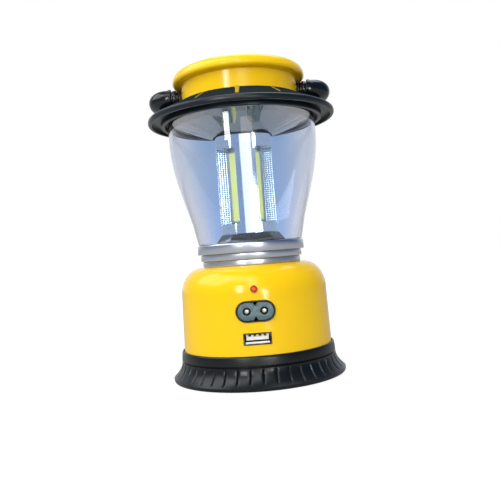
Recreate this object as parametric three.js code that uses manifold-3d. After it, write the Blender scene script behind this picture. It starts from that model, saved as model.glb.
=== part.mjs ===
// Rechargeable camping lantern with a hand crank: lengths in millimetres, +Z up.
// The origin is the centre of the underside. The sockets face -Y and the crank is at the back, +Y.

import * as THREE from 'three';
import { mergeVertices } from 'three/addons/utils/BufferGeometryUtils.js';
import Module from 'manifold-3d';

const wasm = await Module();
wasm.setup();

// Fits and cuts
const gap = 0.3; // between pieces that seat in or on each other
const slipGap = 0.25; // round a shaft that turns in a bore
const overrun = 1; // how far a cut reaches past the face that it opens
const wall = 2.2; // moulded plastic wall
const thinWall = 1.6;

// Facet counts
const wideFacets = 42;
const midFacets = 32;
const smallFacets = 14;
const pinFacets = 8;
const circle = 2 * Math.PI;
const quarter = Math.PI / 2;

// Battery: three cells in a row
const cellRadius = 7.2;
const cellCount = 3;
const cellsToCan = 3.3;
const cellHeadroom = 3.3;

// Circuit board behind the sockets
const socketDepth = 12.4; // from the housing's front to the board
const boardWidth = 32;
const boardThickness = 1.6;
const boardToCells = 12.6;
const boardRise = 4.5; // above the charging light

// Lengths along Y of what stands behind the battery
const canLength = 14;
const frameThickness = 2.2;
const frameToWheel = 1.2;
const idlerWheelWidth = 3;
const wheelToDrive = 1.7;
const driveGearWidth = 3.2;
const gearHubWidth = 3;
const hubToHousing = 7.9;

// The housing is as wide as what stands in it from front to back.
const frontDepth = socketDepth + boardThickness + boardToCells + 2 * cellRadius + cellsToCan;
const gearDepth = frameToWheel + idlerWheelWidth + wheelToDrive + driveGearWidth + gearHubWidth;
const backDepth = canLength + gap + frameThickness + gearDepth + hubToHousing;
const housingBottomRadius = (frontDepth + backDepth) / 2;
const boardFrontY = socketDepth - housingBottomRadius;
const batteryY = boardFrontY + boardThickness + boardToCells + cellRadius;
const frameOuterY = batteryY + cellRadius + cellsToCan + canLength + gap + frameThickness;
const idlerWheelOuterY = frameOuterY + frameToWheel + idlerWheelWidth;
const driveGearOuterY = idlerWheelOuterY + wheelToDrive + driveGearWidth;

// Foot: the black cup that the lantern stands on
const bandWall = 1.6;
const bandDraft = 0.4;
const bandRadius = housingBottomRadius + bandWall;
const bandTopRadius = bandRadius - bandDraft;
const footFlare = 4.9;
const footRadius = bandRadius + footFlare;
const footEdgeHeight = 1.8;
const flareTop = 10.4;
const flareSteps = 2;
const flarePower = 2;
const grooveDepth = 0.9;
const grooveHeight = 0.8;
const bandTop = 16.2;
const bandLip = 0.6;
const gripCount = wideFacets;
const gripWidth = 1.4;
const gripBottom = 2.4;
const gripDepth = 0.8;
const gripAngle = 2.2 * Math.PI / 180;
const facetTurn = gripAngle + circle / (2 * wideFacets) - circle / 4;
const padRadius = 14;
const footRingWidth = 9.9;
const footRingInner = footRadius - footRingWidth;
const undersideRecess = 1.6;
const floorTop = 4.2;
const seatWidth = 2;
const cupInnerRadius = housingBottomRadius - seatWidth;
const seatHeight = 11.4;

// Heights of what shows on the front, from the band up
const usbRise = 8.1;
const inletRise = 13.4;
const lampRise = 10.8;
const usbZ = bandTop + usbRise;
const inletZ = usbZ + inletRise;
const lampZ = inletZ + lampRise;

// Yellow housing that stands in the foot
const housingDraft = 0.9;
const housingMidRadius = housingBottomRadius - housingDraft;
const lampDrop = 2.5; // from the charging light's middle to where the shoulder begins
const shoulderHeight = 14;
const shoulderBottom = lampZ - lampDrop;
const housingTop = shoulderBottom + shoulderHeight;
const shoulderInnerRadius = 28.5;
const cellHeight = housingTop - wall - cellHeadroom - floorTop - gap;
const boardTop = lampZ + boardRise;
const shoulderSteps = 5;
const shoulderInnerSteps = 3;
const wireHoleRadius = 8;

// Screws that hold foot and housing together
const screwAzimuths = [45, 135, 225, 315];
const postRadius = 4;
const postPlay = 0.2;
const screwCircle = cupInnerRadius - postRadius - postPlay;
const postTop = 16.6;
const screwShankRadius = 1.4;
const screwHeadRadius = 3;
const screwHeadHeight = 1.2;
const screwLength = 10;
const screwHeadSink = 1.6;

// Low walls on the floor that hold what stands there
const cradleWall = 1.4;
const cradleHeight = 4;

// Mains inlet with the outline of a figure eight
const inletWidth = 19.5;
const inletHeight = 10.4;
const inletRim = 1.05;
const inletNotch = 1.1;
const inletFloor = 2.4;
const inletProud = 0.5;
const inletArcSteps = 8;
const pinRadius = 1.2;
const pinSpacing = 8.6;
const pinSetback = 2.2;

// USB socket
const usbWidth = 13.4;
const usbHeight = 5.4;
const usbWall = 0.4;
const usbProud = 0.3;
const tongueThickness = 1.7;
const tongueRise = 0.75;
const tongueSetback = 1.2;
const tongueBlockDepth = 2.4;

// Charging light
const lampRadius = 1.65;
const lampProud = 0.9;

// Power button at the back right, and its switch
const buttonAzimuth = 125;
const crankRise = 1.3; // above the middle of the mains inlet
const crankZ = inletZ + crankRise;
const buttonZ = crankZ;
const buttonRadius = 5.4;
const buttonProud = 1.6;
const buttonDepth = 3.4;
const buttonDome = 0.8;
const buttonStemRadius = 2;
const buttonStemLength = 3.6;
const bossWall = 1.5;
const bossDepth = 9;
const switchLength = 7;
const switchFaceDepth = 5.6;
const switchWellDepth = 4;

// Crank at the back: shaft along Y
const shaftRadius = 2.5;
const journalRadius = 1.5;
const bushFlangeRadius = 7;
const bushFlangeWidth = 2.2;
const bushBodyRadius = 4.6;
const bushLength = 6;
const armPlay = 0.5;
const armThickness = 3.2;
const armHubRadius = 7;
const armTipRadius = 5;
const hingeRise = 2.6; // above the foot's flare
const hingeZ = flareTop + hingeRise;
const crankThrow = crankZ - hingeZ;
const crankScrewHeadRadius = 4;
const crankScrewHeadHeight = 1.6;
const crankScrewShankRadius = 1.2;
const crankScrewDepth = 6;
const earThickness = 1.8;
const hingePinRadius = 1.2;
const tongueWidth = 6;
const knobRadius = 5;
const knobLength = 16;
const knobWaist = 0.7;
const stalkRadius = 1.7;
const stalkHeadRadius = 3;
const stalkHeadHeight = 1.4;

// Gears: stub involute teeth
const toothModule = 0.8;
const driveTeeth = 30;
const idlerPinionTeeth = 12;
const idlerWheelTeeth = 28;
const rotorTeeth = 12;
const pressureAngle = 20 * Math.PI / 180;
const addendumShare = 0.8;
const dedendumShare = 1.15;
const toothPlay = 0.16;
const flankSteps = 1;
const gearHubRadius = 5;
const idlerDirection = 215 * Math.PI / 180;
const rotorDirection = -8 * Math.PI / 180;
const idlerAxleRadius = 1.2;
const axleHeadRadius = 2.6;
const axleHeadHeight = 1;

// Gear frame and dynamo; the frame's foot stands between the screw posts.
const frameWidth = 2 * (screwCircle * Math.SQRT1_2 - postRadius - cradleWall - 2 * gap);
const frameRise = 9; // above the crank shaft
const frameTop = crankZ + frameRise;
const frameFootDepth = 8;
const frameFootThickness = 2;
const canRadius = 12;
const canWall = 1.2;
const rotorDrumRadius = 9;
const rotorDrumLength = 9;
const rotorShaftRadius = 1.1;
const canHoleRadius = 2.2;

// Silver ring of three steps between housing and jar
const ringStepRadii = [26.7, 27.6, 29.1];
const ringStepHeights = [3.3, 3.6, 5.3];
const ringTop = housingTop + ringStepHeights.reduce((sum, height) => sum + height);
const ringEdge = 0.5;
const ringHoleRadius = 10;

// Clear jar
const jarBottomRadius = 28.4;
const jarShoulderRadius = 40.3;
const jarTopDraft = 0.1; // the wall leans in a little above its shoulder
const jarTopRadius = jarShoulderRadius - jarTopDraft;
const jarHeight = 67.9;
const jarBottom = ringTop + gap;
const jarTop = jarBottom + jarHeight;
const jarWall = 1.8;
const jarWaistHeight = 11.5;
const jarWaistRadius = 30.9;
const jarShoulderDrop = 10.4; // below the jar's top
const jarSwellPower = 1.06;
const jarCurveSteps = 5;

// Mirror parts inside the jar
const plinthHeight = 4.3;
const plinthBottomHalf = 18.3;
const plinthBottomFlat = 11.6;
const plinthTopHalf = 15.2;
const plinthTopFlat = 9.2;
const plinthBottom = ringTop + gap;
const plinthTop = plinthBottom + plinthHeight;
const columnBottom = plinthTop + gap;
const columnHalf = 15.1;
const columnFlatHalf = 5.4; // half of each flat side, between the rounded corners
const columnCornerRadius = columnHalf - columnFlatHalf;
const columnTurn = 3 * Math.PI / 180; // column and plinth stand turned a little in the photo
const bellDrop = 1.8; // from the jar's top to the bell's mirror at its edge
const bellTop = jarTop - bellDrop;
const bellToColumn = 9.2;
const columnTop = bellTop - bellToColumn;
const cornerSteps = 6;
const spineSteps = 3;
const columnBore = 4;
const columnWall = 4.2; // between the bore and a niche's floor
const nicheFloor = columnBore + columnWall;
const nicheRise = 5.3; // above the column's lower end
const nicheDrop = 6.8; // below the column's upper end
const nicheBottom = columnBottom + nicheRise;
const nicheTop = columnTop - nicheDrop;
const nicheBow = 0.4;
const nicheSteps = 4;
const stripWidth = 8.8;
const stripThickness = 0.9;
const stripPlay = 0.35; // beside a strip, on the niche's floor
const stripEndPlay = 1;
const stripBottom = nicheBottom + stripEndPlay;
const stripTop = nicheTop - stripEndPlay;
const bellPlay = 0.5; // between the bell's edge and the jar's wall
const bellOuterRadius = jarTopRadius - jarWall - bellPlay;
const bellLip = 1.3; // how far the bell's opening lies outside the column's sides
const bellInnerRadius = columnHalf + bellLip;
const bellRadiusShares = [0, 0.08372093, 0.6, 1]; // from the opening to the edge
const bellProfileDrops = [8.2, 7.4, 3.1, 0];
const bellWall = 1.2;

// Black collar
const jarPlay = 1.7; // between the jar's top and the ring that grips it
const stepRingInner = jarTopRadius + jarPlay;
const stepRingWidth = 2.1;
const stepRingOuter = stepRingInner + stepRingWidth;
const collarOverhang = 7.1; // outside that ring
const collarRadius = stepRingOuter + collarOverhang;
const collarOverlap = 2; // how far the rim hangs below the jar's top
const collarRimBottom = jarTop - collarOverlap;
const collarRimHeight = 3.3;
const collarRimRound = 0.9;
const collarRimLedge = 1.6;
const coneRimRadius = collarRadius - collarRimLedge;
const coneRise = 7.9;
const coneTop = collarRimBottom + collarRimHeight + coneRise;
const collarLipWidth = 1.5;
const collarRecess = 2;
const headPlay = 0.1;
const coneTopWidth = 1.3;
const stepRingDrop = 0.9;
const collarLineAzimuths = [[-33, -43], [28, 37]]; // at the inner and the outer end
const collarLineRadii = [33.6, 46];
const collarLineWidth = 0.5;
const collarLineHeight = 0.35;

// Yellow head with neck, brim and index mark
const neckRadius = 31.5;
const collarBore = neckRadius + gap + headPlay;
const coneTopRadius = collarBore + coneTopWidth;
const neckSink = 6.2; // below the collar's top
const neckHeight = 9.8; // from the collar's top to the brim
const brimHeight = 6.2;
const neckBottom = coneTop - neckSink;
const brimBottom = coneTop + neckHeight;
const brimTop = brimBottom + brimHeight;
const brimRadius = 36.2;
const brimEdge = 1.2;
const brimSteps = 3;
const panelRadius = 28.8;
const brimFlat = 3.5; // between the panel's seat and the brim's curve
const brimTopRadius = panelRadius + gap + brimFlat;
const panelThickness = 2;
const panelSink = 0.3;
const panelFloor = 2;
const panelWireRadius = 2.5;
const markAzimuth = -1.2 * Math.PI / 180;
const markWidth = 1.9;
const markEndDrop = 2.1; // inside the cone's rim
const markEndRadius = coneRimRadius - markEndDrop;
const markDepth = 1.4;
const markProud = 0.25;

// Carrying handle, folded back at rest
const handleRise = 4.4; // above the collar's top
const handleZ = coneTop + handleRise;
const handleRadius = 5.4;
const handleReach = 37;
const elbowRadius = 8;
const sleeveRadius = 4.7;
const sleeveNeckRadius = 4; // next to the washer
const sleeveNeckLength = 1.3;
const beadRingRadius = 5.5;
const beadRingWidth = 1.7;
const elbowShare = 0.115;
const handleSteps = 28;
const handleSides = 12;
const handlePinRadius = 1.9;
const handlePinLength = 11;
const handlePinHeadRadius = 3.4;
const handlePinHeadHeight = 1.2;
const handlePinSink = 3.5; // how far the pin's head lies inside the neck's outer face
const handlePinHeadX = neckRadius - handlePinSink;
const washerRadius = 4;
const washerThickness = 1;
const washerPlay = 0.5; // between the neck and the washer
const sleeveStart = neckRadius + washerPlay + washerThickness + gap;
const sleeveLength = 4;
const beadRingStart = sleeveStart + sleeveLength;
const beadToElbow = 0.7;
const handleHalfWidth = beadRingStart + beadToElbow + elbowRadius;

// Colours and finishes
const finishes = {
  yellow: { color: 0xfcd00a, roughness: 0.28, metalness: 0 },
  black: { color: 0x101618, roughness: 0.22, metalness: 0 },
  silver: { color: 0xb4bcc8, roughness: 0.3, metalness: 0.9 },
  mirror: { color: 0xdfe3e8, roughness: 0.08, metalness: 1 },
  clear: { color: 0xdfe6f2, roughness: 0.05, metalness: 0, transparent: true, opacity: 0.35 },
  phosphor: { color: 0xf2ef7a, roughness: 0.6, metalness: 0 },
  steel: { color: 0xb9bcc0, roughness: 0.32, metalness: 1 },
  brass: { color: 0xc9a552, roughness: 0.35, metalness: 1 },
  gearWhite: { color: 0xece8dc, roughness: 0.5, metalness: 0 },
  white: { color: 0xf2f1ec, roughness: 0.45, metalness: 0 },
  lampRed: { color: 0xeb501e, roughness: 0.2, metalness: 0 },
  board: { color: 0x1f5c38, roughness: 0.55, metalness: 0 },
  battery: { color: 0x2f6fae, roughness: 0.4, metalness: 0 },
  solar: { color: 0x141a33, roughness: 0.15, metalness: 0 },
};

const lantern = new THREE.Group();

function addMesh(name, geometry, finish, parent = lantern) {
  const mesh = new THREE.Mesh(geometry, new THREE.MeshStandardMaterial(finishes[finish]));
  mesh.name = name;
  parent.add(mesh);
  return mesh;
}

// Closed meshes to solids and back

function keepPositions(geometry) {
  const bare = geometry.clone();
  bare.deleteAttribute('normal');
  bare.deleteAttribute('uv');
  return mergeVertices(bare);
}

function fullTriangles(index) {
  const kept = [];
  for (let i = 0; i < index.length; i += 3) {
    const [a, b, c] = [index[i], index[i + 1], index[i + 2]];
    if (a !== b && b !== c && c !== a) kept.push(a, b, c);
  }
  return kept;
}

function facesOutward(positions, triangles) {
  const [a, b, c] = [new THREE.Vector3(), new THREE.Vector3(), new THREE.Vector3()];
  let volume = 0;
  for (let i = 0; i < triangles.length; i += 3) {
    a.fromArray(positions, 3 * triangles[i]);
    b.fromArray(positions, 3 * triangles[i + 1]);
    c.fromArray(positions, 3 * triangles[i + 2]);
    volume += a.dot(b.cross(c));
  }
  return volume > 0;
}

function solid(geometry) {
  const merged = keepPositions(geometry);
  const positions = Float32Array.from(merged.attributes.position.array);
  const triangles = fullTriangles(merged.index.array);
  if (!facesOutward(positions, triangles)) triangles.reverse();
  return new wasm.Manifold(new wasm.Mesh({
    numProp: 3,
    vertProperties: positions,
    triVerts: Uint32Array.from(triangles),
  }));
}

function geometryOf(body) {
  const mesh = body.getMesh();
  const geometry = new THREE.BufferGeometry();
  geometry.setAttribute('position', new THREE.BufferAttribute(mesh.vertProperties, 3));
  geometry.setIndex(new THREE.BufferAttribute(mesh.triVerts, 1));
  geometry.computeVertexNormals();
  return geometry;
}

function joined(parts) {
  return parts.reduce((whole, part) => whole.add(part));
}

function without(body, cuts) {
  return cuts.reduce((rest, cut) => rest.subtract(cut), body);
}

// Basic forms

// A revolve about Z of points [radius, height].
function revolve(points, facets) {
  const profile = points.map(([radius, height]) => new THREE.Vector2(radius, height));
  return new THREE.LatheGeometry(profile, facets).rotateX(quarter);
}

// A ring or tube with a square section: the profile closes on itself.
function tube(inner, outer, bottom, top, facets) {
  return revolve([[inner, bottom], [outer, bottom], [outer, top], [inner, top], [inner, bottom]], facets);
}

function rod(radius, bottom, top, facets) {
  return revolve([[0, bottom], [radius, bottom], [radius, top], [0, top]], facets);
}

function box(width, depth, height, x, y, bottom) {
  return new THREE.BoxGeometry(width, depth, height).translate(x, y, bottom + height / 2);
}

function extrude(shape, depth) {
  return new THREE.ExtrudeGeometry(shape, { depth, bevelEnabled: false, curveSegments: 1 });
}

// Stands a form that was drawn in XY and grows along +Z up in the XZ plane, facing -Y, from frontY.
function facingFront(geometry, frontY, depth, z) {
  return geometry.rotateX(quarter).translate(0, frontY + depth, z);
}

// Turns a form made along Z so that it lies along +Y, or along +X.
function alongY(geometry) {
  return geometry.rotateX(-quarter);
}

function alongX(geometry) {
  return geometry.rotateY(quarter);
}

// Azimuth 0 is -Y, and 90 degrees is +X.
function aroundZ(geometry, azimuth) {
  return geometry.rotateZ(azimuth);
}

function outlineShape(points) {
  return new THREE.Shape(points.map(([x, y]) => new THREE.Vector2(x, y)));
}

function arcPoints(centreX, centreY, radius, start, end, steps) {
  const points = [];
  for (let i = 0; i <= steps; i += 1) {
    const angle = start + (end - start) * i / steps;
    points.push([centreX + radius * Math.cos(angle), centreY + radius * Math.sin(angle)]);
  }
  return points;
}

function radians(degrees) {
  return degrees * Math.PI / 180;
}

// Foot cup

function flareRadius(z) {
  const rise = (z - footEdgeHeight) / (flareTop - footEdgeHeight);
  return bandRadius + (footRadius - bandRadius) * (1 - rise) ** flarePower;
}

function footProfile() {
  const points = [[0, 0], [padRadius, 0], [padRadius, undersideRecess]];
  points.push([footRingInner, undersideRecess], [footRingInner, 0]);
  points.push([footRadius - bandLip, 0], [footRadius, bandLip]);
  for (let i = 0; i <= flareSteps; i += 1) {
    const z = footEdgeHeight + (flareTop - footEdgeHeight) * i / flareSteps;
    points.push([flareRadius(z), z]);
  }
  points.push([bandRadius - grooveDepth, flareTop + grooveHeight / 2]);
  points.push([bandRadius, flareTop + grooveHeight]);
  points.push([bandTopRadius, bandTop - bandLip], [bandTopRadius - bandLip, bandTop]);
  points.push([housingBottomRadius + gap, bandTop], [housingBottomRadius + gap, seatHeight]);
  points.push([cupInnerRadius, seatHeight], [cupInnerRadius, floorTop], [0, floorTop]);
  return points;
}

// A wedge with its edge inside the flare, so that it cuts a V-shaped groove
function gripCut(index) {
  const height = flareTop - gripBottom;
  const mouth = gripWidth * (gripDepth + overrun) / gripDepth;
  const outline = outlineShape([[0, gripDepth], [-mouth / 2, -overrun], [mouth / 2, -overrun]]);
  const lean = Math.atan2(flareRadius(gripBottom) - bandRadius, height);
  const bar = extrude(outline, height).rotateX(-lean).translate(0, -flareRadius(gripBottom), gripBottom);
  return solid(aroundZ(bar, gripAngle + circle * index / gripCount));
}

function screwPlace(azimuth) {
  const angle = radians(azimuth) - quarter;
  return [screwCircle * Math.cos(angle), screwCircle * Math.sin(angle)];
}

// A low wall on the floor round something that stands there.
function cradle(width, depth, y) {
  const inner = box(width + 2 * gap, depth + 2 * gap, cradleHeight + overrun, 0, y, floorTop);
  const outerWidth = width + 2 * gap + 2 * cradleWall;
  const outerDepth = depth + 2 * gap + 2 * cradleWall;
  const outer = box(outerWidth, outerDepth, cradleHeight + overrun, 0, y, floorTop - overrun);
  return solid(outer).subtract(solid(inner));
}

function makeFoot() {
  let cup = solid(aroundZ(revolve(footProfile(), wideFacets), facetTurn));
  const cuts = [];
  for (let i = 0; i < gripCount; i += 1) cuts.push(gripCut(i));
  for (const azimuth of screwAzimuths) {
    const [x, y] = screwPlace(azimuth);
    const well = rod(screwHeadRadius + gap, -overrun, screwHeadSink + screwHeadHeight, smallFacets);
    const hole = rod(screwShankRadius + gap, 0, floorTop + overrun, pinFacets);
    cuts.push(solid(well.translate(x, y, 0)), solid(hole.translate(x, y, 0)));
  }
  cup = without(cup, cuts);
  cup = cup.add(cradle(2 * cellRadius * cellCount, 2 * cellRadius, batteryY));
  cup = cup.add(cradle(boardWidth, boardThickness, boardFrontY + boardThickness / 2));
  cup = cup.add(cradle(frameWidth, frameFootDepth, frameOuterY - frameFootDepth / 2));
  addMesh('base_cup', geometryOf(cup), 'black');
}

// Screws, seen from below as round heads with a cross
function makeScrews() {
  screwAzimuths.forEach((azimuth, index) => {
    const [x, y] = screwPlace(azimuth);
    const head = screwHeadSink + screwHeadHeight - gap;
    const points = [[0, head - screwHeadHeight], [screwHeadRadius, head - screwHeadHeight]];
    points.push([screwHeadRadius, head], [screwShankRadius, head]);
    points.push([screwShankRadius, head + screwLength], [0, head + screwLength]);
    const slotDepth = screwHeadHeight / 2;
    const slot = box(screwHeadRadius, slotDepth, slotDepth, 0, 0, head - screwHeadHeight - slotDepth / 2);
    const cross = slot.clone().rotateZ(quarter);
    const screw = without(solid(revolve(points, pinFacets)), [solid(slot), solid(cross)]);
    addMesh(`base_screw_${index + 1}`, geometryOf(screw).translate(x, y, 0), 'steel');
  });
}

// Yellow housing

function shoulderPoints(inset, steps) {
  const points = [];
  const width = housingMidRadius - shoulderInnerRadius;
  const height = housingTop - shoulderBottom;
  for (let i = 0; i <= steps; i += 1) {
    const angle = quarter * i / steps;
    const radius = shoulderInnerRadius + (width - inset) * Math.cos(angle);
    points.push([radius, shoulderBottom + (height - inset) * Math.sin(angle)]);
  }
  return points;
}

function housingProfile() {
  const bottom = seatHeight + gap;
  const outer = [[housingBottomRadius, bottom], ...shoulderPoints(0, shoulderSteps)];
  const inner = shoulderPoints(wall, shoulderInnerSteps).reverse();
  return [
    ...outer,
    [wireHoleRadius, housingTop],
    [wireHoleRadius, housingTop - wall],
    ...inner,
    [housingBottomRadius - wall, bottom],
    [housingBottomRadius, bottom],
  ];
}

// Outer radius of the housing below its shoulder
function housingRadius(z) {
  const share = (z - seatHeight - gap) / (shoulderBottom - seatHeight - gap);
  return housingBottomRadius + (housingMidRadius - housingBottomRadius) * share;
}

// Rounded ends, with a notch in the middle of the top and the bottom
function inletOutline(margin) {
  const radius = inletHeight / 2 + margin;
  const centre = inletWidth / 2 - inletHeight / 2;
  const right = arcPoints(centre, 0, radius, -quarter, quarter, inletArcSteps);
  const left = arcPoints(-centre, 0, radius, quarter, 3 * quarter, inletArcSteps);
  return outlineShape([...right, [0, radius - inletNotch], ...left, [0, inletNotch - radius]]);
}

function buttonForm(geometry) {
  return aroundZ(geometry.rotateX(quarter), radians(buttonAzimuth)).translate(0, 0, buttonZ);
}

// Distances along the button's axis are counted out from the lantern's axis.
const buttonFace = housingRadius(buttonZ);

function makeHousing() {
  const depth = housingBottomRadius;
  const outward = housingBottomRadius + overrun;
  const posts = screwAzimuths.map((azimuth) => {
    const [x, y] = screwPlace(azimuth);
    return solid(rod(postRadius, floorTop + gap, postTop, smallFacets).translate(x, y, 0));
  });
  const boss = rod(buttonRadius + slipGap + bossWall, buttonFace - bossDepth, buttonFace - wall / 2, smallFacets);
  const parts = [solid(revolve(housingProfile(), wideFacets)), ...posts, solid(buttonForm(boss))];

  const screwHoles = screwAzimuths.map((azimuth) => {
    const [x, y] = screwPlace(azimuth);
    const hole = rod(screwShankRadius + gap, floorTop, screwHeadSink + screwLength + 2 * screwHeadHeight, pinFacets);
    return solid(hole.translate(x, y, 0));
  });
  const inletCut = facingFront(extrude(inletOutline(gap), depth / 2), -outward, depth / 2, inletZ);
  const usbCut = box(usbWidth + 2 * gap, depth / 2, usbHeight + 2 * gap, 0, 0, 0);
  usbCut.translate(0, depth / 4 - outward, usbZ - usbHeight / 2 - gap);
  const lampCut = rod(lampRadius + gap, 0, depth / 2, pinFacets).rotateX(quarter);
  lampCut.translate(0, depth / 2 - outward, lampZ);
  const bushCut = alongY(rod(bushBodyRadius + gap, depth / 2, outward, smallFacets)).translate(0, 0, crankZ);
  const buttonCut = buttonForm(rod(buttonRadius + slipGap, depth / 2, outward, smallFacets));
  const cuts = [inletCut, usbCut, lampCut, bushCut, buttonCut].map(solid);
  addMesh('base_housing', geometryOf(without(joined(parts), [...screwHoles, ...cuts])), 'yellow');
}

// What stands on the floor inside

function makeBattery() {
  const cells = [];
  for (let i = 0; i < cellCount; i += 1) {
    const x = 2 * cellRadius * (i - (cellCount - 1) / 2);
    const bottom = floorTop + gap;
    cells.push(solid(rod(cellRadius, bottom, bottom + cellHeight, smallFacets).translate(x, batteryY, 0)));
  }
  const width = 2 * cellRadius * (cellCount - 1);
  cells.push(solid(box(width, cellRadius, cellHeight, 0, batteryY, floorTop + gap)));
  addMesh('battery_pack', geometryOf(joined(cells)), 'battery');
}

function makeBoard() {
  const bottom = floorTop + gap;
  const centreY = boardFrontY + boardThickness / 2;
  addMesh('port_board', box(boardWidth, boardThickness, boardTop - bottom, 0, centreY, bottom), 'board');
}

// Sockets

function makeInlet() {
  const back = boardFrontY - gap;
  const front = -housingBottomRadius - inletProud;
  const depth = back - front;
  const block = solid(facingFront(extrude(inletOutline(0), depth), front, depth, inletZ));
  const face = rod(housingRadius(inletZ) + inletProud, 0, housingTop, wideFacets);
  const wellDepth = depth - inletFloor;
  const well = facingFront(extrude(inletOutline(-inletRim), wellDepth), front, wellDepth, inletZ);
  const pinHoles = [-1, 1].map((side) => {
    const hole = rod(pinRadius + slipGap, -back - overrun, -front, pinFacets).rotateX(quarter);
    return solid(hole.translate(side * pinSpacing / 2, 0, inletZ));
  });
  const body = without(block.intersect(solid(face)), [solid(well), ...pinHoles]);
  addMesh('ac_inlet', geometryOf(body), 'black');

  const pinEnd = housingRadius(inletZ) - pinSetback;
  const pinTip = pinRadius / 2;
  const points = [[0, -back], [pinRadius, -back], [pinRadius, pinEnd - pinTip]];
  points.push([pinTip, pinEnd], [0, pinEnd]);
  for (const [side, word] of [[-1, 'left'], [1, 'right']]) {
    const pin = revolve(points, pinFacets).rotateX(quarter);
    addMesh(`ac_pin_${word}`, pin.translate(side * pinSpacing / 2, 0, inletZ), 'steel');
  }
}

function makeUsb() {
  const back = boardFrontY - gap;
  const front = -housingRadius(usbZ) - usbProud;
  const depth = back - front;
  const middle = (back + front) / 2;
  const bottom = usbZ - usbHeight / 2;
  const shell = box(usbWidth, depth, usbHeight, 0, middle, bottom);
  const innerWidth = usbWidth - 2 * usbWall;
  const innerHeight = usbHeight - 2 * usbWall;
  const bore = box(innerWidth, depth + 2 * overrun, innerHeight, 0, middle, bottom + usbWall);
  addMesh('usb_shell', geometryOf(solid(shell).subtract(solid(bore))), 'steel');

  const side = slipGap;
  const blockHeight = innerHeight - 2 * side;
  const block = box(innerWidth - 2 * side, tongueBlockDepth, blockHeight, 0, 0, bottom + usbWall + side);
  block.translate(0, back - tongueBlockDepth / 2, 0);
  const bladeDepth = depth - tongueSetback - tongueBlockDepth / 2;
  const bladeY = back - tongueBlockDepth / 2 - bladeDepth / 2;
  const bladeBottom = usbZ + tongueRise - tongueThickness / 2;
  const blade = box(innerWidth - 4 * side, bladeDepth, tongueThickness, 0, bladeY, bladeBottom);
  addMesh('usb_tongue', geometryOf(solid(block).add(solid(blade))), 'white');
}

function makeLamp() {
  const front = housingRadius(lampZ) + lampProud;
  const back = -boardFrontY + gap;
  const points = [[0, back], [lampRadius, back], [lampRadius, front - lampRadius]];
  const dome = arcPoints(0, front - lampRadius, lampRadius, 0, quarter, 3).slice(1, -1);
  const lamp = revolve([...points, ...dome, [0, front]], pinFacets).rotateX(quarter);
  addMesh('charge_led', lamp.translate(0, 0, lampZ), 'lampRed');
}

// Power button and switch

function makeButton() {
  const face = buttonFace + buttonProud;
  const back = face - buttonDepth;
  const points = [[0, back - buttonStemLength], [buttonStemRadius, back - buttonStemLength]];
  points.push([buttonStemRadius, back], [buttonRadius, back], [buttonRadius, face - buttonDome]);
  points.push([buttonRadius - buttonDome, face - buttonDome / 3], [0, face]);
  addMesh('power_button', buttonForm(revolve(points, smallFacets)), 'black');

  const switchFace = buttonFace - switchFaceDepth;
  const body = rod(buttonRadius, switchFace - switchLength, switchFace, smallFacets);
  const well = rod(buttonStemRadius + gap, switchFace - switchWellDepth, switchFace + overrun, pinFacets);
  addMesh('power_switch', geometryOf(solid(buttonForm(body)).subtract(solid(buttonForm(well)))), 'white');
}

// Gears

function involuteHalfAngle(radius, pitchRadius, teeth) {
  const base = pitchRadius * Math.cos(pressureAngle);
  const roll = (r) => {
    const angle = Math.acos(Math.min(1, base / r));
    return Math.tan(angle) - angle;
  };
  const half = Math.PI / (2 * teeth) - toothPlay / (2 * pitchRadius);
  return half + roll(pitchRadius) - roll(Math.max(radius, base));
}

function gearOutline(teeth, firstTooth) {
  const pitchRadius = toothModule * teeth / 2;
  const tip = pitchRadius + addendumShare * toothModule;
  const root = pitchRadius - dedendumShare * toothModule;
  const flankStart = Math.max(root, pitchRadius * Math.cos(pressureAngle));
  const points = [];
  for (let tooth = 0; tooth < teeth; tooth += 1) {
    const centre = firstTooth + circle * tooth / teeth;
    const flank = [[root, involuteHalfAngle(flankStart, pitchRadius, teeth)]];
    for (let i = 0; i <= flankSteps; i += 1) {
      const radius = flankStart + (tip - flankStart) * i / flankSteps;
      if (radius > root) flank.push([radius, involuteHalfAngle(radius, pitchRadius, teeth)]);
    }
    for (const [radius, angle] of flank) {
      points.push([radius * Math.cos(centre - angle), radius * Math.sin(centre - angle)]);
    }
    for (const [radius, angle] of flank.reverse()) {
      points.push([radius * Math.cos(centre + angle), radius * Math.sin(centre + angle)]);
    }
  }
  return outlineShape(points);
}

function gearSolid(teeth, firstTooth, outerY, width) {
  return solid(facingFront(extrude(gearOutline(teeth, firstTooth), width), outerY - width, width, 0));
}

function pitchDistance(teethA, teethB) {
  return toothModule * (teethA + teethB) / 2;
}

// Where the next gear has a tooth, so that the two mesh along the given direction
function meshedTooth(firstTooth, direction, teethA, teethB) {
  return direction + Math.PI + Math.PI / teethB - (firstTooth - direction) * teethA / teethB;
}

const driveTooth = 0;
const idlerReach = pitchDistance(driveTeeth, idlerPinionTeeth);
const idlerX = idlerReach * Math.cos(idlerDirection);
const idlerZ = crankZ + idlerReach * Math.sin(idlerDirection);
const idlerTooth = meshedTooth(driveTooth, idlerDirection, driveTeeth, idlerPinionTeeth);
const rotorReach = pitchDistance(idlerWheelTeeth, rotorTeeth);
const rotorX = idlerX + rotorReach * Math.cos(rotorDirection);
const rotorZ = idlerZ + rotorReach * Math.sin(rotorDirection);
const rotorTooth = meshedTooth(idlerTooth, rotorDirection, idlerWheelTeeth, rotorTeeth);

function yRod(radius, innerY, outerY, facets) {
  return solid(alongY(rod(radius, innerY, outerY, facets)));
}

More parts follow.
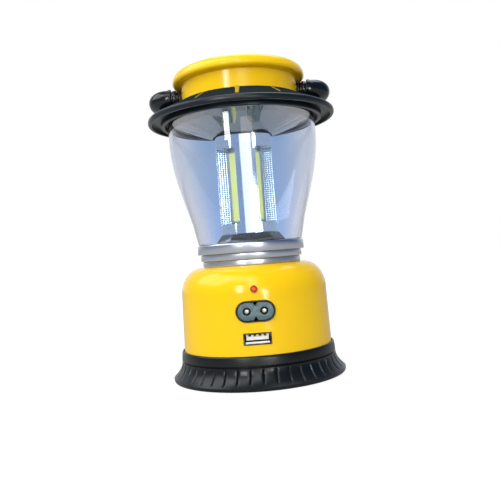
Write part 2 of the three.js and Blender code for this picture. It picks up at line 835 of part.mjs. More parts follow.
function makeGears() {
  const driveBore = yRod(shaftRadius + slipGap, 0, housingBottomRadius, smallFacets);
  const driveHub = yRod(gearHubRadius, driveGearOuterY, driveGearOuterY + gearHubWidth, smallFacets);
  const driveWheel = gearSolid(driveTeeth, driveTooth, driveGearOuterY, driveGearWidth).add(driveHub);
  const drive = driveWheel.subtract(driveBore);
  addMesh('drive_gear', geometryOf(drive).translate(0, 0, crankZ), 'gearWhite');

  const pinionInner = idlerWheelOuterY;
  const pinion = gearSolid(idlerPinionTeeth, idlerTooth, driveGearOuterY, driveGearOuterY - pinionInner);
  const wheel = gearSolid(idlerWheelTeeth, idlerTooth, idlerWheelOuterY, idlerWheelWidth);
  const idlerBore = yRod(idlerAxleRadius + slipGap, 0, housingBottomRadius, pinFacets);
  const idler = wheel.add(pinion).subtract(idlerBore);
  addMesh('idler_gear', geometryOf(idler).translate(idlerX, 0, idlerZ), 'gearWhite');

  const axleEnd = driveGearOuterY + gap + axleHeadHeight;
  const axlePoints = [[0, frameOuterY - frameThickness], [idlerAxleRadius, frameOuterY - frameThickness]];
  axlePoints.push([idlerAxleRadius, driveGearOuterY + gap], [axleHeadRadius, driveGearOuterY + gap]);
  axlePoints.push([axleHeadRadius, axleEnd], [0, axleEnd]);
  const axle = alongY(revolve(axlePoints, pinFacets)).translate(idlerX, 0, idlerZ);
  addMesh('idler_axle', axle, 'steel');
}

function makeDynamo() {
  const canFace = frameOuterY - frameThickness - gap;
  const canBack = canFace - canLength;
  const can = without(yRod(canRadius, canBack, canFace, smallFacets), [
    yRod(canRadius - canWall, canBack + canWall, canFace - canWall, smallFacets),
    yRod(canHoleRadius, canBack + canLength / 2, canFace + overrun, pinFacets),
  ]);
  addMesh('dynamo_can', geometryOf(can).translate(rotorX, 0, rotorZ), 'steel');

  const drumBack = canBack + (canLength - rotorDrumLength) / 2;
  const parts = [
    yRod(rotorDrumRadius, drumBack, drumBack + rotorDrumLength, smallFacets),
    yRod(rotorShaftRadius, drumBack + rotorDrumLength / 2, idlerWheelOuterY, pinFacets),
    gearSolid(rotorTeeth, rotorTooth, idlerWheelOuterY, idlerWheelWidth),
  ];
  addMesh('dynamo_rotor', geometryOf(joined(parts)).translate(rotorX, 0, rotorZ), 'steel');
}

// Upright plate with a foot, which carries the shaft's inner end, the axle and the dynamo
function makeGearFrame() {
  const bottom = floorTop + gap;
  const plateY = frameOuterY - frameThickness / 2;
  const plate = solid(box(frameWidth, frameThickness, frameTop - bottom, 0, plateY, bottom));
  const footY = frameOuterY - frameFootDepth / 2;
  const foot = solid(box(frameWidth, frameFootDepth, frameFootThickness, 0, footY, bottom));
  const inner = frameOuterY - frameThickness - overrun;
  const outer = frameOuterY + overrun;
  const shaftHole = alongY(rod(journalRadius + slipGap, inner, outer, pinFacets)).translate(0, 0, crankZ);
  const axleHole = alongY(rod(idlerAxleRadius + slipGap, inner, outer, pinFacets));
  const rotorHole = alongY(rod(canHoleRadius, inner, outer, pinFacets));
  axleHole.translate(idlerX, 0, idlerZ);
  rotorHole.translate(rotorX, 0, rotorZ);
  const body = without(plate.add(foot), [shaftHole, axleHole, rotorHole].map(solid));
  addMesh('gear_frame', geometryOf(body), 'black');
}

// Crank

const bushFlangeInnerY = housingRadius(crankZ) + gap;
const bushFlangeOuterY = bushFlangeInnerY + bushFlangeWidth;
const armInnerY = bushFlangeOuterY + armPlay;

function makeBush() {
  const inner = bushFlangeOuterY - bushLength;
  const flange = yRod(bushFlangeRadius, bushFlangeInnerY, bushFlangeOuterY, smallFacets);
  const body = yRod(bushBodyRadius, inner, bushFlangeOuterY, smallFacets);
  const bore = yRod(shaftRadius + slipGap, inner - overrun, bushFlangeOuterY + overrun, smallFacets);
  addMesh('crank_bush', geometryOf(flange.add(body).subtract(bore)).translate(0, 0, crankZ), 'black');
}

const armOuterY = armInnerY + armThickness;
const journalEnd = frameOuterY + gap;

function makeShaft() {
  const end = armOuterY - gap;
  const points = [[0, frameOuterY - frameThickness], [journalRadius, frameOuterY - frameThickness]];
  points.push([journalRadius, journalEnd], [shaftRadius, journalEnd], [shaftRadius, end]);
  points.push([crankScrewShankRadius + slipGap, end]);
  points.push([crankScrewShankRadius + slipGap, end - crankScrewDepth], [0, end - crankScrewDepth]);
  addMesh('crank_shaft', alongY(revolve(points, smallFacets)).translate(0, 0, crankZ), 'steel');

  const headBottom = armOuterY + gap / 2;
  const headTop = headBottom + crankScrewHeadHeight;
  const tip = end - crankScrewDepth + gap;
  const screw = [[0, tip], [crankScrewShankRadius, tip], [crankScrewShankRadius, headBottom]];
  screw.push([crankScrewHeadRadius, headBottom], [crankScrewHeadRadius, headTop - gap]);
  screw.push([crankScrewHeadRadius - gap, headTop], [0, headTop]);
  addMesh('crank_screw', alongY(revolve(screw, smallFacets)).translate(0, 0, crankZ), 'steel');
}

const earRadius = armTipRadius - gap;
const knobStart = earRadius + 2 * gap;
const hingeY = armOuterY + gap + knobRadius;

// Two round ends of different size joined by straight sides; the arm points down at rest
function armOutline() {
  const lean = Math.asin((armHubRadius - armTipRadius) / crankThrow);
  const hub = arcPoints(0, 0, armHubRadius, -lean, Math.PI + lean, 2 * spineSteps + 4);
  const tip = arcPoints(0, -crankThrow, armTipRadius, Math.PI + lean, circle - lean, 2 * spineSteps);
  return outlineShape([...hub, ...tip]);
}

function earOutline() {
  const reach = hingeY - armInnerY - armThickness / 2;
  const round = arcPoints(reach, 0, earRadius, -quarter, quarter, 2 * spineSteps);
  return outlineShape([[0, -earRadius], ...round, [0, earRadius]]);
}

function makeArm() {
  const plate = facingFront(extrude(armOutline(), armThickness), armInnerY, armThickness, crankZ);
  const ears = [-1, 1].map((side) => {
    const ear = extrude(earOutline(), earThickness).rotateX(quarter).rotateZ(quarter);
    const x = side > 0 ? tongueWidth / 2 + gap : -tongueWidth / 2 - gap - earThickness;
    return solid(ear.translate(x, armInnerY + armThickness / 2, hingeZ));
  });
  const cuts = [
    solid(alongX(rod(hingePinRadius + slipGap, -armHubRadius, armHubRadius, pinFacets)).translate(0, hingeY, hingeZ)),
    yRod(shaftRadius + slipGap, armInnerY - overrun, armOuterY + overrun, smallFacets).translate([0, 0, crankZ]),
  ];
  addMesh('crank_arm', geometryOf(without(joined([solid(plate), ...ears]), cuts)), 'black');

  const pinHalf = tongueWidth / 2 + gap + earThickness;
  const pin = alongX(rod(hingePinRadius, -pinHalf, pinHalf, pinFacets)).translate(0, hingeY, hingeZ);
  addMesh('knob_hinge_pin', pin, 'steel');
}

// The knob lies folded up along the arm at rest, with its axis along Z.
function makeKnob() {
  const knobBottom = hingeZ + knobStart;
  const knobTop = knobBottom + knobLength;
  const headSink = stalkHeadHeight + gap;
  const eyeRadius = knobRadius - 2 * gap;
  const eye = solid(alongX(rod(eyeRadius, -tongueWidth / 2, tongueWidth / 2, smallFacets)));
  const stalk = [[0, 0], [stalkRadius, 0], [stalkRadius, knobTop - headSink + gap - hingeZ]];
  stalk.push([stalkHeadRadius, knobTop - headSink + gap - hingeZ]);
  stalk.push([stalkHeadRadius, knobTop - hingeZ - gap / 2], [0, knobTop - hingeZ - gap / 2]);
  const bore = solid(alongX(rod(hingePinRadius + slipGap, -tongueWidth, tongueWidth, pinFacets)));
  const trim = solid(box(4 * knobRadius, 4 * knobRadius, knobRadius, 0, 0, knobStart - gap));
  const keep = solid(revolve(stalk, pinFacets));
  const yoke = joined([eye.subtract(trim), keep]).subtract(bore);
  addMesh('knob_yoke', geometryOf(yoke).translate(0, hingeY, hingeZ), 'steel');

  const boreRadius = stalkRadius + slipGap;
  const wellRadius = stalkHeadRadius + slipGap;
  const chamfer = 2 * slipGap;
  const points = [[boreRadius, knobBottom], [knobRadius - chamfer, knobBottom]];
  points.push([knobRadius, knobBottom + chamfer]);
  points.push([knobRadius - knobWaist, (knobBottom + knobTop) / 2]);
  points.push([knobRadius, knobTop - chamfer], [knobRadius - chamfer, knobTop], [wellRadius, knobTop]);
  points.push([wellRadius, knobTop - headSink], [boreRadius, knobTop - headSink], [boreRadius, knobBottom]);
  addMesh('crank_knob', revolve(points, smallFacets).translate(0, hingeY, 0), 'black');
}

// Silver ring

function makeRing() {
  const points = [[ringHoleRadius, housingTop]];
  let bottom = housingTop;
  ringStepRadii.forEach((radius, index) => {
    const top = bottom + ringStepHeights[index];
    points.push([radius, bottom], [radius, top - ringEdge], [radius - ringEdge, top]);
    bottom = top;
  });
  points.push([ringHoleRadius, bottom], [ringHoleRadius, housingTop]);
  addMesh('silver_ring', revolve(points, midFacets), 'silver');
}

// Jar

function jarPoints(inset) {
  const jarWaistZ = jarBottom + jarWaistHeight;
  const jarShoulderZ = jarTop - jarShoulderDrop;
  const points = [[jarBottomRadius - inset, jarBottom], [jarWaistRadius - inset, jarWaistZ]];
  for (let i = 1; i <= jarCurveSteps; i += 1) {
    const share = i / jarCurveSteps;
    const z = jarWaistZ + (jarShoulderZ - jarWaistZ) * share;
    const swell = Math.sin(quarter * share ** jarSwellPower);
    points.push([jarWaistRadius - inset + (jarShoulderRadius - jarWaistRadius) * swell, z]);
  }
  points.push([jarTopRadius - inset, jarTop]);
  return points;
}

function makeJar() {
  const outer = jarPoints(0);
  const inner = jarPoints(jarWall).reverse();
  addMesh('jar', revolve([...outer, ...inner, outer[0]], midFacets), 'clear');
}

// Light column and its mirrors

function chamferedSquare(half, flat) {
  const points = [];
  for (let side = 0; side < 4; side += 1) {
    const turn = quarter * side;
    for (const along of [-flat, flat]) {
      const x = along * Math.cos(turn) + half * Math.sin(turn);
      const y = along * Math.sin(turn) - half * Math.cos(turn);
      points.push([x, y]);
    }
  }
  return points;
}

// Straight sides between two outlines with the same number of points
function loft(lower, lowerZ, upper, upperZ) {
  const count = lower.length;
  const positions = [];
  for (const [x, y] of lower) positions.push(x, y, lowerZ);
  for (const [x, y] of upper) positions.push(x, y, upperZ);
  const triangles = [];
  for (let i = 0; i < count; i += 1) {
    const next = (i + 1) % count;
    triangles.push(i, next, count + next, i, count + next, count + i);
    if (i > 1) triangles.push(0, i, i - 1, count, count + i - 1, count + i);
  }
  const geometry = new THREE.BufferGeometry();
  geometry.setAttribute('position', new THREE.BufferAttribute(Float32Array.from(positions), 3));
  geometry.setIndex(triangles);
  return geometry;
}

function makePlinth() {
  const lower = chamferedSquare(plinthBottomHalf, plinthBottomFlat);
  const upper = chamferedSquare(plinthTopHalf, plinthTopFlat);
  const block = solid(loft(lower, plinthBottom, upper, plinthTop));
  const bore = solid(rod(columnBore, plinthBottom - overrun, plinthTop + overrun, pinFacets));
  addMesh('bottom_reflector', geometryOf(block.subtract(bore)).rotateZ(columnTurn), 'mirror');
}

// Square with flat sides and rounded corners
function columnOutline() {
  const points = [];
  for (let side = 0; side < 4; side += 1) {
    const start = quarter * side;
    const diagonal = start + quarter / 2;
    const reach = columnFlatHalf * Math.SQRT2;
    const [x, y] = [reach * Math.cos(diagonal), reach * Math.sin(diagonal)];
    points.push(...arcPoints(x, y, columnCornerRadius, start, start + quarter, cornerSteps));
  }
  return outlineShape(points);
}

// Niche in a corner: a flat floor for the strip between two sides that open outwards.
// x runs out from the column's axis along the diagonal
function nicheOutline() {
  const floorHalf = stripWidth / 2 + stripPlay;
  const mouth = [(columnHalf + columnFlatHalf) * Math.SQRT1_2, columnCornerRadius * Math.SQRT1_2];
  const [runX, runY] = [mouth[0] - nicheFloor, mouth[1] - floorHalf];
  const length = Math.hypot(runX, runY);
  const side = [];
  for (let i = 0; i <= nicheSteps; i += 1) {
    const share = i / nicheSteps;
    const bow = 4 * nicheBow * share * (1 - share);
    side.push([nicheFloor + share * runX - bow * runY / length, floorHalf + share * runY + bow * runX / length]);
  }
  side.push([columnHalf + columnFlatHalf, mouth[1]]);
  const otherSide = side.map(([x, y]) => [x, -y]).reverse();
  return outlineShape([...otherSide, ...side]);
}

function makeColumn() {
  const bar = solid(extrude(columnOutline(), columnTop - columnBottom).translate(0, 0, columnBottom));
  const bore = solid(rod(columnBore, columnBottom - overrun, columnTop + overrun, pinFacets));
  const cuts = [bore];
  for (let side = 0; side < 4; side += 1) {
    const niche = extrude(nicheOutline(), nicheTop - nicheBottom).translate(0, 0, nicheBottom);
    cuts.push(solid(niche.rotateZ(quarter * side + quarter / 2)));
  }
  addMesh('light_column', geometryOf(without(bar, cuts)).rotateZ(columnTurn), 'mirror');

  for (let side = 0; side < 4; side += 1) {
    const diagonal = quarter * side + quarter / 2;
    const inner = nicheFloor + gap;
    const strip = box(stripThickness, stripWidth, stripTop - stripBottom, inner + stripThickness / 2, 0, stripBottom);
    addMesh(`cob_strip_${side + 1}`, strip.rotateZ(diagonal + columnTurn), 'phosphor');
  }
}

// Shallow bell that hangs over the column, mirror side down
function makeBell() {
  const bellSpan = bellOuterRadius - bellInnerRadius;
  const bellRadii = bellRadiusShares.map((share) => bellInnerRadius + share * bellSpan);
  const outer = bellRadii.map((radius, index) => [radius, bellTop - bellProfileDrops[index]]);
  const upper = outer.map(([radius, z]) => [radius, z + bellWall]).reverse();
  addMesh('top_reflector', revolve([...outer, ...upper, outer[0]], midFacets), 'mirror');
}

// Collar

function coneHeight(radius) {
  const rimTop = collarRimBottom + collarRimHeight;
  return rimTop + (coneTop - rimTop) * (coneRimRadius - radius) / (coneRimRadius - coneTopRadius);
}

function collarProfile() {
  const rimTop = collarRimBottom + collarRimHeight;
  const recessTop = collarRimBottom + collarRecess;
  const lipInner = coneRimRadius - collarLipWidth + collarRimRound;
  const ceiling = jarTop + gap;
  const inner = jarTopRadius - jarWall - overrun;
  return [
    [lipInner, collarRimBottom],
    [collarRadius - collarRimRound, collarRimBottom],
    [collarRadius, collarRimBottom + collarRimRound],
    [collarRadius, rimTop - collarRimRound],
    [collarRadius - collarRimRound, rimTop - collarRimRound / 3],
    [coneRimRadius, rimTop],
    [coneTopRadius, coneTop],
    [collarBore, coneTop],
    [collarBore, coneHeight(collarBore) - 2 * thinWall],
    [inner + thinWall, coneHeight(inner + thinWall) - thinWall - gap],
    [inner + thinWall, ceiling + thinWall],
    [inner, ceiling + thinWall],
    [inner, ceiling],
    [jarTopRadius + gap, ceiling],
    [jarTopRadius + gap, recessTop - 2 * gap],
    [stepRingInner, recessTop - 2 * gap],
    [stepRingInner, collarRimBottom - stepRingDrop],
    [stepRingOuter, collarRimBottom - stepRingDrop],
    [stepRingOuter, recessTop],
    [lipInner, recessTop],
    [lipInner, collarRimBottom],
  ];
}

// A bar that lies on the cone at an azimuth, from one radius to another
function coneBar(width, innerRadius, outerRadius, above, below) {
  const outline = outlineShape([
    [innerRadius, coneHeight(innerRadius) - below],
    [outerRadius, coneHeight(outerRadius) - below],
    [outerRadius, coneHeight(outerRadius) + above],
    [innerRadius, coneHeight(innerRadius) + above],
  ]);
  return extrude(outline, width).translate(0, 0, -width / 2).rotateX(quarter).rotateZ(-quarter);
}

// A fine raised line that runs slantwise down the cone
function coneLine(azimuths) {
  const [start, end] = azimuths.map((azimuth, index) => {
    const angle = radians(azimuth);
    const radius = collarLineRadii[index];
    return new THREE.Vector3(radius * Math.sin(angle), -radius * Math.cos(angle), coneHeight(radius));
  });
  const height = collarLineHeight + thinWall / 2;
  const line = new THREE.BoxGeometry(collarLineWidth, height, start.distanceTo(end));
  line.translate(0, height / 2 - thinWall / 2, 0);
  const middle = start.clone().add(end).divideScalar(2);
  const steepness = (coneRimRadius - coneTopRadius) / coneRise;
  const up = new THREE.Vector3(middle.x, middle.y, Math.hypot(middle.x, middle.y) * steepness).normalize();
  return line.applyMatrix4(new THREE.Matrix4().lookAt(end, start, up).setPosition(middle));
}

function makeCollar() {
  let collar = solid(revolve(collarProfile(), wideFacets));
  const slot = coneBar(markWidth + 2 * gap, neckRadius, markEndRadius + gap, overrun, markDepth + gap);
  collar = collar.subtract(solid(aroundZ(slot, markAzimuth)));
  for (const azimuths of collarLineAzimuths) collar = collar.add(solid(coneLine(azimuths)));
  addMesh('collar', geometryOf(collar), 'black');
}

// Head

function headProfile() {
  const top = brimTop;
  const panelBottom = top - panelSink - panelThickness;
  const curve = [];
  const rise = top - brimBottom - brimEdge;
  for (let i = 0; i <= brimSteps; i += 1) {
    const angle = quarter * i / brimSteps;
    const radius = brimTopRadius + (brimRadius - brimTopRadius) * Math.cos(angle);
    curve.push([radius, brimBottom + brimEdge + rise * Math.sin(angle)]);
  }
  return [
    [neckRadius - wall, neckBottom],
    [neckRadius, neckBottom],
    [neckRadius, brimBottom],
    [brimRadius - brimEdge, brimBottom],
    ...curve,
    [panelRadius + gap, top],
    [panelRadius + gap, panelBottom - gap],
    [panelWireRadius, panelBottom - gap],
    [panelWireRadius, panelBottom - gap - panelFloor],
    [neckRadius - wall, panelBottom - gap - panelFloor],
    [neckRadius - wall, neckBottom],
  ];
}

function makeHead() {
  const shell = solid(revolve(headProfile(), midFacets));
  const mark = solid(aroundZ(coneBar(markWidth, neckRadius - wall / 2, markEndRadius, markProud, markDepth), markAzimuth));
  const holes = [-1, 1].map((side) => {
    const hole = alongX(rod(handlePinRadius + slipGap, neckRadius - 2 * wall, neckRadius + overrun, pinFacets));
    return solid(hole.rotateZ(side > 0 ? 0 : Math.PI).translate(0, 0, handleZ));
  });
  addMesh('head_shell', geometryOf(without(shell.add(mark), holes)), 'yellow');

  const bottom = brimTop - panelSink - panelThickness;
  addMesh('solar_panel', rod(panelRadius, bottom, bottom + panelThickness, midFacets), 'solar');
}

// Handle

// Centre line in plan: an elbow, half an ellipse behind the neck, and an elbow again
class HandleCurve extends THREE.Curve {
  getPoint(t, target = new THREE.Vector3()) {
    const side = t < 1 / 2 ? 1 : -1;
    const near = t < 1 / 2 ? t : 1 - t;
    if (near < elbowShare) {
      const angle = quarter * near / elbowShare - quarter;
      const x = handleHalfWidth - elbowRadius + elbowRadius * Math.cos(angle);
      return target.set(side * x, elbowRadius + elbowRadius * Math.sin(angle), handleZ);
    }
    const angle = quarter * (near - elbowShare) / (1 / 2 - elbowShare);
    const y = elbowRadius + handleReach * Math.sin(angle);
    return target.set(side * handleHalfWidth * Math.cos(angle), y, handleZ);
  }
}

function makeHandle() {
  const section = outlineShape(arcPoints(0, 0, handleRadius, 0, circle, handleSides).slice(1));
  const path = new HandleCurve();
  const bow = new THREE.ExtrudeGeometry(section, { steps: handleSteps, bevelEnabled: false, extrudePath: path });
  let body = solid(bow);
  const end = handleHalfWidth - elbowRadius;
  const sleeveStep = sleeveStart + sleeveNeckLength;
  const points = [[0, sleeveStart], [sleeveNeckRadius, sleeveStart], [sleeveNeckRadius, sleeveStep]];
  points.push([sleeveRadius, sleeveStep + gap], [sleeveRadius, beadRingStart]);
  points.push([beadRingRadius, beadRingStart + gap], [beadRingRadius, beadRingStart + beadRingWidth]);
  points.push([sleeveRadius, beadRingStart + beadRingWidth], [sleeveRadius, end + beadRingWidth]);
  points.push([0, end + beadRingWidth]);
  const boreEnd = handlePinHeadX + handlePinLength + gap;
  const pin = [[0, handlePinHeadX - handlePinHeadHeight], [handlePinHeadRadius, handlePinHeadX - handlePinHeadHeight]];
  pin.push([handlePinHeadRadius, handlePinHeadX], [handlePinRadius, handlePinHeadX]);
  pin.push([handlePinRadius, handlePinHeadX + handlePinLength], [0, handlePinHeadX + handlePinLength]);
  const washerBottom = sleeveStart - gap - washerThickness;
  for (const [turn, word] of [[Math.PI, 'left'], [0, 'right']]) {
    const place = (geometry) => alongX(geometry).rotateZ(turn).translate(0, 0, handleZ);
    body = body.add(solid(place(revolve(points, smallFacets))));
    body = body.subtract(solid(place(rod(handlePinRadius + slipGap, sleeveStart - overrun, boreEnd, pinFacets))));
    addMesh(`handle_pin_${word}`, place(revolve(pin, pinFacets)), 'steel');
    const washer = tube(handlePinRadius + slipGap, washerRadius, washerBottom, sleeveStart - gap, smallFacets);
    addMesh(`handle_washer_${word}`, place(washer), 'black');
  }
  addMesh('handle_bail', geometryOf(body), 'black');
}

makeFoot();
makeScrews();
makeHousing();
makeBattery();
makeBoard();
makeInlet();
makeUsb();
makeLamp();
makeButton();
makeGearFrame();
makeGears();
makeDynamo();
makeBush();
makeShaft();
makeArm();
makeKnob();
makeRing();
makeJar();
makePlinth();
makeColumn();
makeBell();
makeCollar();
makeHead();
makeHandle();

export default lantern;
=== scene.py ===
# %% [markdown]
# # A hand crank camping lantern, dressed for a render
#
# The CAD model is the frame: it fixes where every piece is and how it moves. This lesson builds the
# surfaces that an eye would look at, piece by piece, and rides each on the CAD body that carries it.
# Lengths are written in millimetres, as on a drawing, and turned into metres where a mesh is made.
# Heights are measured from the ground, and an azimuth of 0 is the front.

# %% Load the frame
import math

import bmesh
import bpy
from mathutils import Matrix, Vector


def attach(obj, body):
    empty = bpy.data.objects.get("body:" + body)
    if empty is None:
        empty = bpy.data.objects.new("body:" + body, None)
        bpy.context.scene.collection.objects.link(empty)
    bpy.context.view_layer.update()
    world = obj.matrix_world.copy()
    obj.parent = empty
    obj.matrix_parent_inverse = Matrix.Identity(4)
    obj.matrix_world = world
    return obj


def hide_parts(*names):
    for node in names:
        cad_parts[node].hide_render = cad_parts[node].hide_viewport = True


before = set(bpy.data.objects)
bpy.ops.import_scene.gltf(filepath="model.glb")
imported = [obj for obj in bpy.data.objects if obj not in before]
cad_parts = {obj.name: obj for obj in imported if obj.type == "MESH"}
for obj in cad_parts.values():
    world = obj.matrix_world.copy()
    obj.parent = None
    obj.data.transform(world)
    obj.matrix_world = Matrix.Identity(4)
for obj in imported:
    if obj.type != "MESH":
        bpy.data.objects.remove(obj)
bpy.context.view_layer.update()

# %% [markdown]
# ## The camera
#
# The photograph was taken from the height of the silver ring, a third of a metre away, with the camera
# rolled a little, so that the lantern leans to the left. A camera looks along its own -Z, so a turn of a
# quarter about X makes it look along +Y. The small extra turns are what the rings of the lantern gave when
# a pinhole camera was fitted to them.

# %% Camera
MM = 0.001
QUARTER = math.pi / 2
CAMERA_PLACE = Vector((0, -0.3328, 0.06572))
CAMERA_PAN = 0.0015
CAMERA_TILT = 0.0066
CAMERA_ROLL = -0.07584
SENSOR_WIDTH, LENS_LENGTH = 36, 43.375
CLIP_START = 0.01

camera_data = bpy.data.cameras.new("photo_camera")
camera_data.sensor_width = SENSOR_WIDTH
camera_data.lens = LENS_LENGTH
camera_data.clip_start = CLIP_START
camera = bpy.data.objects.new("photo_camera", camera_data)
bpy.context.scene.collection.objects.link(camera)
turn = Matrix.Rotation(CAMERA_PAN, 4, "Z") @ Matrix.Rotation(QUARTER + CAMERA_TILT, 4, "X")
camera.matrix_world = Matrix.Translation(CAMERA_PLACE) @ turn @ Matrix.Rotation(CAMERA_ROLL, 4, "Z")
bpy.context.scene.camera = camera
bpy.context.scene.view_settings.view_transform = "Standard"
print("camera at", tuple(camera.location))

# %% [markdown]
# ## Helpers for round things
#
# Nearly everything on a lantern is turned or moulded round one axis. A profile is a list of points
# [radius, height]; a corner may carry a third number, the size of its fillet. Real edges are never sharp,
# and the small curve is what catches a line of light, so `soften` turns such corners into short curves
# before the profile is spun.

# %% Profiles
def soften(points, closed=False, steps=4):
    """Replaces each corner that carries a fillet by a short curve."""
    out = []
    count = len(points)
    for i, point in enumerate(points):
        here = Vector(point[:2])
        fillet = point[2] if len(point) > 2 else 0
        if not fillet or (not closed and i in (0, count - 1)):
            out.append(tuple(here))
            continue
        before = Vector(points[i - 1][:2]) - here
        after = Vector(points[(i + 1) % count][:2]) - here
        reach = min(fillet, 0.48 * before.length, 0.48 * after.length)
        start = here + before.normalized() * reach
        end = here + after.normalized() * reach
        for k in range(steps + 1):
            t = k / steps
            out.append(tuple((1 - t) ** 2 * start + 2 * t * (1 - t) * here + t * t * end))
    return out


def arc(centre, radii, start, end, steps):
    """Points of an arc. Angles are in degrees, and two radii make it part of an ellipse."""
    across, up = radii if isinstance(radii, tuple) else (radii, radii)
    points = []
    for k in range(steps + 1):
        angle = math.radians(start + (end - start) * k / steps)
        points.append((centre[0] + across * math.cos(angle), centre[1] + up * math.sin(angle)))
    return points


print("a softened corner has", len(soften([(0, 0), (5, 0, 1), (5, 5)])) - 2, "points")

# %% [markdown]
# A mesh is made from plain lists of points and faces. `bmesh` then turns all the faces outwards and welds
# what touches. Faces are shaded smooth, except across edges that bend by more than an angle, which stay
# crisp, as the edges of a moulded part do.

# %% Meshes
CRISP, FLAT_CRISP = 38, 30
WELD = 1e-7


def link(name, data):
    piece = bpy.data.objects.new(name, data)
    bpy.context.scene.collection.objects.link(piece)
    return piece


def shade(piece, crisp):
    piece.data.shade_smooth()
    piece.data.set_sharp_from_angle(angle=math.radians(crisp))
    return piece


def from_lists(name, points, faces, crisp):
    """A piece from points in millimetres."""
    mesh = bpy.data.meshes.new(name)
    mesh.from_pydata([Vector(p) * MM for p in points], [], faces)
    work = bmesh.new()
    work.from_mesh(mesh)
    bmesh.ops.remove_doubles(work, verts=work.verts, dist=WELD)
    bmesh.ops.recalc_face_normals(work, faces=work.faces)
    work.to_mesh(mesh)
    work.free()
    return shade(link(name, mesh), crisp)


def spin(name, profile, around=192, closed=False, bend=None, angles=None, crisp=CRISP):
    """Spins a profile round Z. A point on the axis becomes a pole. bend(radius, z, angle) may move a ring."""
    angles = angles or [2 * math.pi * j / around for j in range(around)]
    around = len(angles)
    points, rings, faces = [], [], []
    for radius, z in profile:
        if radius <= 0:
            rings.append([len(points)] * around)
            points.append((0, 0, z))
            continue
        rings.append(list(range(len(points), len(points) + around)))
        for angle in angles:
            r = bend(radius, z, angle) if bend else radius
            points.append((r * math.sin(angle), -r * math.cos(angle), z))
    above = rings[1:] + (rings[:1] if closed else [])
    for low, high in zip(rings, above):
        for j in range(around):
            k = (j + 1) % around
            face = list(dict.fromkeys((low[j], low[k], high[k], high[j])))
            if len(face) > 2:
                faces.append(face)
    return from_lists(name, points, faces, crisp)


# %% [markdown]
# Flat parts are outlines with a thickness. `skin` is the general form: two outlines with the same number
# of points, filled and joined by walls, so that the ends may differ, as they do on the plinth. A bar is a
# circle swept along a path. A bevelled curve would make one too, but here each point of the path has its
# own radius, and plain mesh is what the holes are cut in.

# %% Blocks and bars
def skin(name, lower, upper, crisp=FLAT_CRISP):
    """Two outlines with the same number of points, filled and joined by walls."""
    count = len(lower)
    faces = [list(range(count)), list(range(count, 2 * count))]
    faces += [(i, (i + 1) % count, count + (i + 1) % count, count + i) for i in range(count)]
    return from_lists(name, lower + upper, faces, crisp)


def prism(name, outline, low, high, crisp=FLAT_CRISP):
    """An outline in the XY plane, given a height."""
    return skin(name, [(x, y, low) for x, y in outline], [(x, y, high) for x, y in outline], crisp)


def block(name, low, high):
    """A box between two corners."""
    (x, y, bottom), (far_x, far_y, top) = low, high
    return prism(name, [(x, y), (far_x, y), (far_x, far_y), (x, far_y)], bottom, top)


def sweep(name, path, radii, sides, crisp=50):
    """A round bar along a path, with its own radius at each point."""
    points, faces = [], []
    side = None
    for i, (middle, radius) in enumerate(zip(path, radii)):
        along = (Vector(path[min(i + 1, len(path) - 1)]) - Vector(path[max(i - 1, 0)])).normalized()
        if side is None:
            side = along.orthogonal().normalized()
        side = (side - along * side.dot(along)).normalized()
        other = along.cross(side)
        for j in range(sides):
            angle = 2 * math.pi * j / sides
            points.append(Vector(middle) + radius * (math.cos(angle) * side + math.sin(angle) * other))
    for i in range(len(path) - 1):
        for j in range(sides):
            k = (j + 1) % sides
            faces.append((i * sides + j, i * sides + k, (i + 1) * sides + k, (i + 1) * sides + j))
    last = (len(path) - 1) * sides
    faces += [list(range(sides)), list(range(last, last + sides))]
    return from_lists(name, points, faces, crisp)


# %% [markdown]
# Holes are cut with Blender's exact Boolean, and edges of flat parts are rounded with a Bevel modifier.
# Both could stay live, but they are applied at once, so that a piece is plain mesh and can be saved as it is.

# %% Modifiers, applied
def apply_modifiers(piece, crisp):
    view = bpy.context.evaluated_depsgraph_get()
    mesh = bpy.data.meshes.new_from_object(piece.evaluated_get(view))
    piece.modifiers.clear()
    piece.data = mesh
    return shade(piece, crisp)


def combine(piece, others, operation="DIFFERENCE", crisp=CRISP):
    """Cuts or joins, then removes the tools."""
    for other in others:
        step = piece.modifiers.new("combine", "BOOLEAN")
        step.operation = operation
        step.solver = "EXACT"
        step.object = other
    apply_modifiers(piece, crisp)
    for other in others:
        bpy.data.objects.remove(other, do_unlink=True)
    return piece


def bevel(piece, width, segments=3, angle=40, crisp=FLAT_CRISP):
    """Rounds every edge that bends by more than an angle."""
    step = piece.modifiers.new("bevel", "BEVEL")
    step.width = width * MM
    step.segments = segments
    step.limit_method = "ANGLE"
    step.angle_limit = math.radians(angle)
    return apply_modifiers(piece, crisp)


def join(name, parts):
    """Several closed bodies as one piece."""
    work = bmesh.new()
    for part in parts:
        part.data.transform(part.matrix_world)
        work.from_mesh(part.data)
        bpy.data.objects.remove(part, do_unlink=True)
    mesh = bpy.data.meshes.new(name)
    work.to_mesh(mesh)
    work.free()
    return shade(link(name, mesh), CRISP)


# %% [markdown]
# A piece is drawn upright at the middle and then put in its place. Moving the object would do that too, but
# here its mesh is moved, and the object stays at the origin, so that it rides on its CAD body as it is.

# %% Placing
def place(piece, matrix):
    """Moves the mesh itself, in millimetres; the object stays at the origin."""
    shift = matrix.copy()
    shift.translation = shift.translation * MM
    piece.data.transform(shift)
    return piece


def along_y(z):
    """What was made along +Z then lies along +Y."""
    return Matrix.Translation((0, 0, z)) @ Matrix.Rotation(-QUARTER, 4, "X")


def to_azimuth(degrees, z=0):
    """What was made along +Z then points out at an azimuth: 0 is -Y, and 90 is +X."""
    turned = Matrix.Rotation(math.radians(degrees), 4, "Z") @ Matrix.Rotation(QUARTER, 4, "X")
    return Matrix.Translation((0, 0, z)) @ turned


